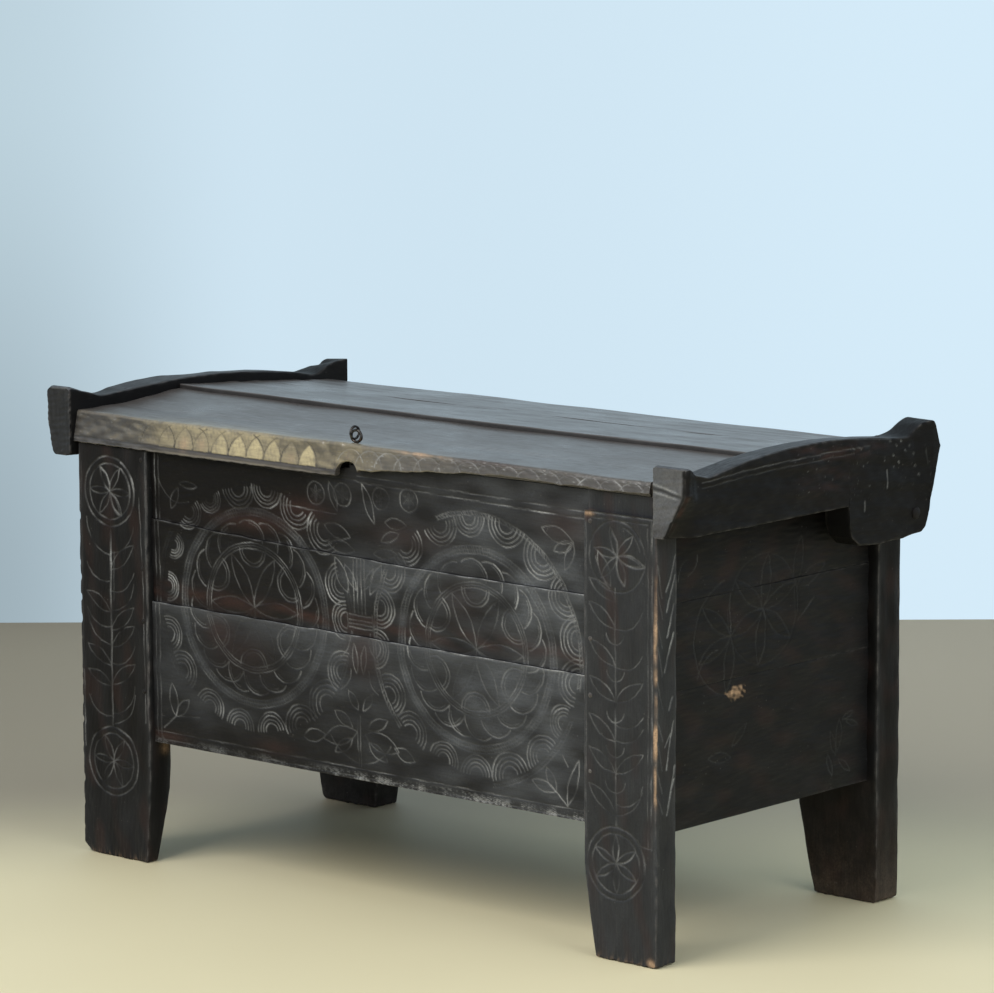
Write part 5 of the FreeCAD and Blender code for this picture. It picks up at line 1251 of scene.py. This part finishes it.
def paint_iron(name):
    """Old forged iron: dark scale with rubbed and rusty places."""
    material = bpy.data.materials.new(name)
    material.use_nodes = True
    tree = material.node_tree
    tree.nodes.clear()
    place = sockets(tree, "ShaderNodeTexCoord").outputs["Object"]
    scale = sockets(tree, "ShaderNodeTexNoise", {"Vector": place, "Scale": 240.0, "Detail": 5.0}).outputs[0]
    rust = sockets(tree, "ShaderNodeTexNoise", {"Vector": place, "Scale": 90.0, "Detail": 4.0}).outputs[0]
    colour = blend_colours(tree, rise(tree, scale, 0.4, 0.65), (0.018, 0.017, 0.017, 1), (0.07, 0.065, 0.06, 1))
    colour = blend_colours(tree, sums(tree, "MULTIPLY", rise(tree, rust, 0.55, 0.7), 0.5), colour,
                           (0.09, 0.04, 0.022, 1))
    bumped = sockets(tree, "ShaderNodeBump", {"Strength": 0.5, "Distance": 0.0006, "Height": scale})
    shader = sockets(tree, "ShaderNodeBsdfPrincipled", {"Base Color": colour, "Metallic": 0.75,
                                                        "Roughness": rise(tree, scale, 0.0, 1.6),
                                                        "Normal": bumped.outputs[0]})
    tree.links.new(shader.outputs[0], sockets(tree, "ShaderNodeOutputMaterial").inputs[0])
    return material


def finish_of(part):
    """The finish of each kind of piece, in the colours that the user set."""
    chosen = bpy.context.scene.chest_colours
    tones = {key: tuple(getattr(chosen, key)) for key in ("dark", "brown", "bloom_and_sheen", "red", "cut", "worn", "bare")}
    if part == "front":
        return paint_wood("Blackened carved boards", "x", tones)
    if part == "post":
        return paint_wood("Blackened posts", "z", tones, line_amount=0.8)
    if part == "end":
        return paint_wood("Blackened end boards", "y", tones, line_amount=0.24, brown_amount=0.3)
    if part == "inner":
        inner = dict(tones, dark=tuple(chosen.inner), brown=tuple(c * 1.7 for c in chosen.inner))
        return paint_wood("Rough inner boards", "x", inner, gloss=(0.6, 0.85), rub_amount=0.3)
    if part == "lid":
        lid = dict(tones, dark=tuple(chosen.lid), brown=tuple(c * 1.5 for c in chosen.lid), lip=tuple(chosen.lip))
        return paint_wood("Grey worn lid boards", "x", lid, gloss=(0.3, 0.44), specular=0.5, bump=0.04)
    if part == "cheek":
        return paint_wood("Blackened lid cheeks", "y", tones, rub_amount=0.8, brown_amount=0.35)
    if part == "peg":
        peg = dict(tones, dark=tuple(c * 1.6 for c in tones["dark"]), brown=tuple(c * 2 for c in tones["brown"]))
        return paint_wood("Worn peg ends", "z", peg)
    return bpy.data.materials.get("Forged iron") or paint_iron("Forged iron")


# What a user sets

class ChestSizes(bpy.types.PropertyGroup):
    """Sizes of the carving and of the surfaces' points."""
    carving_depth: bpy.props.FloatProperty(name="Carving depth",
                                           description="Share of the tool's full depth that the lines are cut to",
                                           default=1.15, min=0.0, max=2.0)
    board_pitch: bpy.props.FloatProperty(name="Plain board pitch",
                                         description="Distance between a plain board's points, in millimetres",
                                         default=4.0, min=1.0, max=20.0)
    post_pitch: bpy.props.FloatProperty(name="Carved post pitch",
                                        description="Distance between a carved post's points, in millimetres",
                                        default=1.45, min=1.0, max=10.0)


class ChestColours(bpy.types.PropertyGroup):
    """Colours of the wood, its wear and the stage."""
    dark: bpy.props.FloatVectorProperty(name="Dark wood", description="Blackened surface", subtype="COLOR", size=3,
                                        default=(0.0047, 0.0046, 0.0048), min=0, max=1)
    brown: bpy.props.FloatVectorProperty(name="Brown wood", description="Where the black has thinned", subtype="COLOR",
                                         size=3,
                                         default=(0.0135, 0.011, 0.0107), min=0, max=1)
    # The hazy wood colour paints a grey bloom together with painted sheen.
    bloom_and_sheen: bpy.props.FloatVectorProperty(name="Hazy wood", description="Where the black has gone bluish grey",
                                        subtype="COLOR", size=3,
                                        default=(0.105, 0.112, 0.122), min=0, max=1)
    red: bpy.props.FloatVectorProperty(name="Reddish wood", description="Where reddish brown shows through",
                                       subtype="COLOR", size=3,
                                       default=(0.045, 0.023, 0.019), min=0, max=1)
    # The carved lines' pale colour is partly worn wood and partly painted highlight where light catches the cuts.
    cut: bpy.props.FloatVectorProperty(name="Carved lines", description="Worn lines of the carving", subtype="COLOR",
                                       size=3,
                                       default=(0.36, 0.365, 0.365), min=0, max=1)
    worn: bpy.props.FloatVectorProperty(name="Rubbed arrises", description="Arrises rubbed by handling",
                                        subtype="COLOR", size=3,
                                        default=(0.15, 0.14, 0.135), min=0, max=1)
    bare: bpy.props.FloatVectorProperty(name="Bare wood", description="Chipped places", subtype="COLOR", size=3,
                                        default=(0.60, 0.40, 0.25), min=0, max=1)
    inner: bpy.props.FloatVectorProperty(name="Inner wood", description="Rough boards of the back, floor and inside",
                                         subtype="COLOR",
                                         size=3, default=(0.055, 0.040, 0.030), min=0, max=1)
    lid: bpy.props.FloatVectorProperty(name="Lid wood", description="Grey top of the lid", subtype="COLOR", size=3,
                                       default=(0.068, 0.061, 0.057), min=0, max=1)
    lip: bpy.props.FloatVectorProperty(name="Worn lip", description="Pale wood of the lip", subtype="COLOR", size=3,
                                       default=(0.52, 0.44, 0.26), min=0, max=1)
    # The floor's front and back tones paint light falling off: bright before the chest, darker behind it.
    floor_front: bpy.props.FloatVectorProperty(name="Floor, front", description="Plain floor before the chest",
                                               subtype="COLOR",
                                               size=3, default=(0.75, 0.675, 0.445), min=0, max=1)
    floor_back: bpy.props.FloatVectorProperty(name="Floor, back", description="Plain floor behind the chest",
                                              subtype="COLOR",
                                              size=3, default=(0.35, 0.30, 0.222), min=0, max=1)
    wall: bpy.props.FloatVectorProperty(name="Wall", description="Plain wall behind", subtype="COLOR", size=3,
                                        default=(0.64, 0.80, 0.91), min=0, max=1)
    wall_left: bpy.props.FloatVectorProperty(name="Wall, left", description="Shaded left end of the wall",
                                             subtype="COLOR", size=3,
                                             default=(0.34, 0.43, 0.48), min=0, max=1)


class ChestStage(bpy.types.PropertyGroup):
    """Camera and lamps."""
    lens: bpy.props.FloatProperty(name="Lens", description="Focal length on a 36 mm frame", default=179.81, min=10,
                                  max=400, unit="CAMERA")
    key: bpy.props.FloatProperty(name="Key lamp", description="Power of the large lamp", default=170.0, min=0,
                                 max=5000, unit="POWER")
    fill: bpy.props.FloatProperty(name="Fill lamp", description="Power of the lamp on the right", default=45.0, min=0,
                                  max=5000, unit="POWER")
    sky: bpy.props.FloatProperty(name="Sky", description="Strength of the even light from all round", default=0.55,
                                 min=0, max=2)


# Operators, one for each piece or group of like pieces

class CHEST_OT_front_boards(bpy.types.Operator):
    """Three carved wedge boards between the front posts"""
    bl_idname = "chest.front_boards"
    bl_label = "Front boards"

    def execute(self, context):
        read, depth = carve_front(), context.scene.chest_sizes.carving_depth
        levels = ((PANEL_LOW, PANEL_LOW), (JOINTS_LEFT[0], JOINTS_RIGHT[0]), (JOINTS_LEFT[1], JOINTS_RIGHT[1]),
                  (PANEL_HIGH, PANEL_HIGH))
        for k, course in enumerate(("bottom", "middle", "top")):
            shape_front_board("front_board_" + course, levels[k], levels[k + 1], finish_of("front"), read, depth)
        return {"FINISHED"}


class CHEST_OT_front_posts(bpy.types.Operator):
    """Two carved plank posts at the front"""
    bl_idname = "chest.front_posts"
    bl_label = "Front posts"

    def execute(self, context):
        sizes = context.scene.chest_sizes
        shape_post("front", LEFT, finish_of("post"), sizes.post_pitch, carve_post_left(), None, sizes.carving_depth)
        shape_post("front", RIGHT, finish_of("post"), sizes.post_pitch, carve_post_right(), carve_post_side(),
                   sizes.carving_depth)
        return {"FINISHED"}


class CHEST_OT_back_posts(bpy.types.Operator):
    """Two plain plank posts at the back"""
    bl_idname = "chest.back_posts"
    bl_label = "Back posts"

    def execute(self, context):
        for side in (LEFT, RIGHT):
            shape_post("back", side, finish_of("post"), context.scene.chest_sizes.board_pitch)
        return {"FINISHED"}


class CHEST_OT_end_boards(bpy.types.Operator):
    """Three wedge boards in each end wall; the right ones are carved"""
    bl_idname = "chest.end_boards"
    bl_label = "End boards"

    def execute(self, context):
        sizes, read = context.scene.chest_sizes, carve_end()
        for side, pitch in ((LEFT, sizes.board_pitch), (RIGHT, 2.0)):
            for course, low, high, lean, thin in (("bottom", 193, 403, 0.3, 21), ("middle", 403, 535, 0.3, 15.5),
                                                  ("top", 535, 708, 0.3, 15.5)):
                shape_wall_board("%s_end_board_%s" % (SIDE_NAME[side], course), side, True, low, high, lean, thin,
                                 finish_of("end"),
                                 pitch, read if side == RIGHT else None, sizes.carving_depth,
                                 arched=course == "top")
        return {"FINISHED"}


class CHEST_OT_back_boards(bpy.types.Operator):
    """Three plain wedge boards in the back wall"""
    bl_idname = "chest.back_boards"
    bl_label = "Back boards"

    def execute(self, context):
        for course, low, high, lean, thin in (("bottom", 199, 425, 2, 20), ("middle", 425, 550, 4, 12),
                                              ("top", 550, 680, 4, 12)):
            shape_wall_board("back_board_" + course, RIGHT, False, low, high, lean, thin, finish_of("inner"),
                             context.scene.chest_sizes.board_pitch)
        return {"FINISHED"}


class CHEST_OT_floor_boards(bpy.types.Operator):
    """Finish of the floor boards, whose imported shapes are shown"""
    bl_idname = "chest.floor_boards"
    bl_label = "Floor boards"

    def execute(self, context):
        for place in ("front", "middle", "rear"):
            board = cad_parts["floor_board_" + place]
            board.data.materials.clear()
            board.data.materials.append(finish_of("inner"))
        return {"FINISHED"}


class CHEST_OT_lid_boards(bpy.types.Operator):
    """Three lid boards, the front one with its carved and worn lip"""
    bl_idname = "chest.lid_boards"
    bl_label = "Lid boards"

    def execute(self, context):
        material = finish_of("lid")
        shape_lid_front(material, carve_lip(), context.scene.chest_sizes.carving_depth)
        shape_lid_plank("lid_middle_planed", "lid_board_middle",
                        [(FIRST_JOINT_Y, 740), (SECOND_JOINT_Y, 726), (SECOND_JOINT_Y, 714), (FIRST_JOINT_Y, 716)],
                        (2.0, 0.5, 1.8, 1.8), 0.0, 210, material)
        shape_lid_plank("lid_rear_planed", "lid_board_rear",
                        [(SECOND_JOINT_Y + 0.1, 726.1), (LID_REAR_Y, 713.5), (LID_REAR_Y, 696),
                         (SECOND_JOINT_Y + 0.1, 705)],
                        (0.5, 1.2, 1.8, 1.8), 3.0, 220, material)
        return {"FINISHED"}


class CHEST_OT_lid_cheeks(bpy.types.Operator):
    """Arched end pieces of the lid, with their horns and lobes"""
    bl_idname = "chest.lid_cheeks"
    bl_label = "Lid cheeks"

    def execute(self, context):
        read = carve_cheek()
        for side in (LEFT, RIGHT):
            shape_cheek(side, finish_of("cheek"), read, context.scene.chest_sizes.carving_depth)
        return {"FINISHED"}


class CHEST_OT_pegs(bpy.types.Operator):
    """Wooden pegs through posts, boards and cheeks, and the two hinge pins"""
    bl_idname = "chest.pegs"
    bl_label = "Pegs and pins"

    def execute(self, context):
        heights = [PANEL_LOW + (PANEL_HIGH - PANEL_LOW) * part for part in (0.9108, 0.5614, 0.3912, 0.1635)]
        for wall, low in (("front", HALF_DEPTH - 42), ("back", HALF_DEPTH - 52)):
            for side in (LEFT, RIGHT):
                points, faces = peg_rounds([(INNER_X[wall, side] + 12 * side, h) for h in heights], 4.0, low,
                                           HALF_DEPTH + 1.2, "y", 3 + side)
                if wall == "back":
                    points = points * (1, -1, 1)
                self.add("board_pegs_%s_%s" % (wall, SIDE_NAME[side]), points, faces, "chest",
                         1.2 if (wall, side) == ("front", RIGHT) else 0.1)
        for side in (LEFT, RIGHT):
            node = "lid_pegs_" + SIDE_NAME[side]
            low, high = corners_of(node)
            points, faces, start = [], [], 0
            for y, foot in ((-174.8, 682), (35, 695), (216, 672)):
                proud = 1.6 if (side > 0 and y > 200) else 0.4
                p, f = peg_rounds([((low[0] + high[0]) / 2 - SHIFT[0], y)], 4.0, foot, cheek_top(side, y, 0.2) + proud,
                                  "z", 7 + side)
                points.append(p)
                faces += [face + start for face in f]
                start += len(p)
            self.add(node, np.concatenate(points), faces, "lid", 0.4)
            points, faces = peg_rounds([(PIN_Y, PIN_Z)], 9.0, HALF_LENGTH - 58, CHEEK_OUT + 5, "x", 5)
            self.add("hinge_pin_" + SIDE_NAME[side], points * (side, 1, 1), faces, "chest", 0.0)
        return {"FINISHED"}

    def add(self, node, points, faces, body, wear):
        """One node's pegs, worn as much as given."""
        make_piece(node + "_whittled", points, faces, {"rub": np.full(len(points), wear)}, body,
                   finish_of("peg"), [node])


class CHEST_OT_iron(bpy.types.Operator):
    """Iron eye clenched through the lid, and the ring in it"""
    bl_idname = "chest.iron"
    bl_label = "Iron eye and ring"

    def execute(self, context):
        material = finish_of("iron")
        low, high = corners_of("ring_eye")
        x, y = -6.0, -280.0
        top, wire = high[2] - 2.25, 2.25
        turn = np.linspace(0, math.tau, 49)[:-1]
        centre = top - 9
        loop = np.stack([x + 10.4 * np.sin(turn), y + 0 * turn, centre + 9 * np.cos(turn)], 1)
        loops, faces = tube(loop, wire * (1 + 0.07 * np.cos(3 * turn)), True)
        foot = low[2] + 1.8
        shank = np.array([(x, y, centre - 8.4), (x, y, 712), (x, y, 702), (x, y, foot + 2.6), (x + 0.8, y, foot + 0.9),
                          (x + 3, y, foot), (x + 22, y, foot)])
        rod, ends = tube(shank, np.array([2.9, 3.0, 3.0, 2.6, 2.0, 1.8, 1.6]), False)
        points = np.concatenate([loops.reshape(-1, 3), rod.reshape(-1, 3)])
        faces = faces + [end + loops.shape[0] * loops.shape[1] for end in ends]
        make_piece("ring_eye_forged", points, faces, {}, "lid", material, ["ring_eye"])
        low, high = corners_of("pull_ring")
        middle = (low + high) / 2 - SHIFT
        ring = np.stack([middle[0] + 0.25 * np.sin(2 * turn), middle[1] + 9.5 * np.sin(turn),
                         middle[2] + 9.5 * np.cos(turn)], 1)
        loops, faces = tube(ring, 2.0 * (1 + 0.05 * np.cos(4 * turn + 1)), True)
        make_piece("pull_ring_forged", loops, faces, {}, "ring", material, ["pull_ring"])
        return {"FINISHED"}


def plain_surface(name, corners, material):
    """A flat stage piece through four corners, in metres."""
    mesh = bpy.data.meshes.new(name)
    mesh.from_pydata(corners, [], [(0, 1, 2, 3)])
    mesh.materials.append(material)
    surface = bpy.data.objects.new(name, mesh)
    bpy.context.scene.collection.objects.link(surface)
    return surface


def plain_tree(name):
    """A material with an empty node tree, its object coordinates and its output node."""
    material = bpy.data.materials.new(name)
    material.use_nodes = True
    tree = material.node_tree
    tree.nodes.clear()
    return material, tree, sockets(tree, "ShaderNodeTexCoord").outputs["Object"], sockets(tree,
            "ShaderNodeOutputMaterial")


def reach_along(tree, place, way, low, high):
    """How far a place lies between two distances along a direction, eased at both ends."""
    along = sockets(tree, "ShaderNodeVectorMath", {0: place, 1: tuple(way)}, operation="DOT_PRODUCT").outputs["Value"]
    return sockets(tree, "ShaderNodeMapRange", {"Value": along, "From Min": low, "From Max": high},
                   interpolation_type="SMOOTHSTEP").outputs["Result"]


def paint_floor(name, front, back, side, flat):
    """Plain matt floor with painted light: its bright front tone goes over into its darker back one beside the chest,
    and it is lighter to the right.
    """
    material, tree, place, out = plain_tree(name)
    left, right = [c * 0.85 for c in back], [c * 1.25 for c in back]
    behind = blend_colours(tree, reach_along(tree, place, side, -0.9, 0.9), (*left, 1), (*right, 1))
    before = blend_colours(tree, reach_along(tree, place, side, -0.9, 0.9), (*[c * 0.97 for c in front], 1),
                           (*[c * 1.14 for c in front], 1))
    tone = blend_colours(tree, reach_along(tree, place, flat, -0.15, 0.7), before, behind)
    drift = sockets(tree, "ShaderNodeTexNoise", {"Vector": place, "Scale": 1.7, "Detail": 2.0}).outputs[0]
    tone = blend_colours(tree, sums(tree, "MULTIPLY", drift, 0.16), tone, (*[c * 0.5 for c in front], 1))
    shader = sockets(tree, "ShaderNodeBsdfPrincipled",
                     {"Base Color": tone, "Roughness": 0.6, "Specular IOR Level": 0.25})
    tree.links.new(shader.outputs[0], out.inputs[0])
    return material


def paint_wall(name, main, left, side):
    """Plain wall, seen and mirrored in its own tones, with painted shade darkening them towards its lower left and
    painted light lifting them a little to the right, and matt to other light. It is clear from its back, so that the
    chest can be seen from behind."""
    material, tree, place, out = plain_tree(name)
    upper = [c * 1.5 for c in left]
    shaded = blend_colours(tree, reach_along(tree, place, (0, 0, 1), 0.05, 1.15), (*left, 1), (*upper, 1))
    lit = blend_colours(tree, reach_along(tree, place, side, -0.2, 1.0), (*[c * 0.97 for c in main], 1),
                        (*[c * 1.04 for c in main], 1))
    tone = blend_colours(tree, reach_along(tree, place, side, -1.05, -0.42), shaded, lit)
    path = sockets(tree, "ShaderNodeLightPath").outputs
    seen = sums(tree, "MAXIMUM", sums(tree, "MAXIMUM", path["Is Camera Ray"], path["Is Glossy Ray"]),
                path["Is Transmission Ray"])
    matt = sockets(tree, "ShaderNodeBsdfDiffuse", {"Color": tone})
    glow = sockets(tree, "ShaderNodeEmission", {"Color": tone, "Strength": 1.0})
    mix = sockets(tree, "ShaderNodeMixShader", {0: seen, 1: matt.outputs[0], 2: glow.outputs[0]})
    back = sockets(tree, "ShaderNodeNewGeometry").outputs["Backfacing"]
    clear = sockets(tree, "ShaderNodeBsdfTransparent")
    whole = sockets(tree, "ShaderNodeMixShader", {0: back, 1: mix.outputs[0], 2: clear.outputs[0]})
    tree.links.new(whole.outputs[0], out.inputs[0])
    return material


class CHEST_OT_stage(bpy.types.Operator):
    """Floor, wall, lamps, even sky and camera"""
    bl_idname = "chest.stage"
    bl_label = "Stage"

    def execute(self, context):
        scene, tones, stage = context.scene, context.scene.chest_colours, context.scene.chest_stage
        azimuth, elevation, roll = (math.radians(a) for a in (41.2252, 8.9646, -0.1945))
        back = Vector((math.sin(azimuth) * math.cos(elevation), -math.cos(azimuth) * math.cos(elevation),
                       math.sin(elevation)))
        across = (-back).cross(Vector((0, 0, 1))).normalized()
        above = across.cross(-back)
        right = across * math.cos(roll) + above * math.sin(roll)
        up = above * math.cos(roll) - across * math.sin(roll)
        camera = bpy.data.objects.new("Camera", bpy.data.cameras.new("Camera"))
        camera.data.lens, camera.data.sensor_width = stage.lens, 36.0
        camera.data.clip_start, camera.data.clip_end = 0.1, 100.0
        turn = Matrix((right, up, back)).transposed().to_4x4()
        camera.matrix_world = Matrix.Translation(Vector((5.0925, -5.7960, 1.8230))) @ turn
        scene.collection.objects.link(camera)
        scene.camera = camera

        flat = Vector((-back.x, -back.y, 0)).normalized()
        side = Vector((flat.y, -flat.x, 0))
        behind = flat * 2.216
        plain_surface("stage_floor", [flat * 12 + side * 9, flat * 12 - side * 9, -flat * 14 - side * 9,
                                      -flat * 14 + side * 9],
                      paint_floor("Plain floor", tuple(tones.floor_front), tuple(tones.floor_back), side, flat))
        plain_surface("stage_wall", [behind - side * 9, behind + side * 9, behind + side * 9 + Vector((0, 0, 7)),
                                     behind - side * 9 + Vector((0, 0, 7))],
                      paint_wall("Plain wall", tuple(tones.wall), tuple(tones.wall_left), side))
        self.lamp(scene, "Key lamp", Vector((-0.6, -3.6, 3.6)), Vector((0, 0, 0.3)), 3.0, stage.key, (1.0, 0.985, 0.96))
        self.lamp(scene, "Fill lamp", Vector((3.8, -0.6, 2.6)), Vector((0, 0, 0.4)), 2.4, stage.fill, (0.93, 0.97, 1.0))
        world = bpy.data.worlds.new("Even sky")
        scene.world = world
        world.use_nodes = True
        sky = world.node_tree.nodes["Background"]
        sky.inputs["Color"].default_value = (0.86, 0.93, 1.0, 1)
        sky.inputs["Strength"].default_value = stage.sky
        scene.view_settings.view_transform = "Standard"
        return {"FINISHED"}

    def lamp(self, scene, name, at, to, size, power, colour):
        """A square lamp that faces a place."""
        lamp = bpy.data.objects.new(name, bpy.data.lights.new(name, "AREA"))
        lamp.data.size, lamp.data.energy, lamp.data.color = size, power, colour
        lamp.matrix_world = Matrix.Translation(at) @ (at - to).to_track_quat("Z", "Y").to_matrix().to_4x4()
        scene.collection.objects.link(lamp)


STEPS = (CHEST_OT_front_boards, CHEST_OT_front_posts, CHEST_OT_back_posts, CHEST_OT_end_boards, CHEST_OT_back_boards,
         CHEST_OT_floor_boards, CHEST_OT_lid_boards, CHEST_OT_lid_cheeks, CHEST_OT_pegs, CHEST_OT_iron, CHEST_OT_stage)
GROUPS = (ChestSizes, ChestColours, ChestStage)


class CHEST_PT_sidebar(bpy.types.Panel):
    """The chest's sizes, colours and steps"""
    bl_idname = "CHEST_PT_sidebar"
    bl_label = "Carved storage chest"
    bl_space_type = "VIEW_3D"
    bl_region_type = "UI"
    bl_category = "Chest"

    def draw(self, context):
        for name in ("chest_sizes", "chest_colours", "chest_stage"):
            group = getattr(context.scene, name)
            for key in group.bl_rna.properties.keys():
                if key not in ("rna_type", "name"):
                    self.layout.prop(group, key)
        for step in STEPS:
            self.layout.operator(step.bl_idname)


def register():
    for each in (*GROUPS, *STEPS, CHEST_PT_sidebar):
        bpy.utils.register_class(each)
    bpy.types.Scene.chest_sizes = bpy.props.PointerProperty(type=ChestSizes)
    bpy.types.Scene.chest_colours = bpy.props.PointerProperty(type=ChestColours)
    bpy.types.Scene.chest_stage = bpy.props.PointerProperty(type=ChestStage)


def unregister():
    for name in ("chest_sizes", "chest_colours", "chest_stage"):
        delattr(bpy.types.Scene, name)
    for each in reversed((*GROUPS, *STEPS, CHEST_PT_sidebar)):
        bpy.utils.unregister_class(each)


def main():
    """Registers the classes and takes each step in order."""
    register()
    for step in (bpy.ops.chest.front_boards, bpy.ops.chest.front_posts, bpy.ops.chest.back_posts,
                 bpy.ops.chest.end_boards,
                 bpy.ops.chest.back_boards, bpy.ops.chest.floor_boards, bpy.ops.chest.lid_boards,
                 bpy.ops.chest.lid_cheeks,
                 bpy.ops.chest.pegs, bpy.ops.chest.iron, bpy.ops.chest.stage):
        step()
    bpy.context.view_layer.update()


if __name__ == "__main__":
    main()
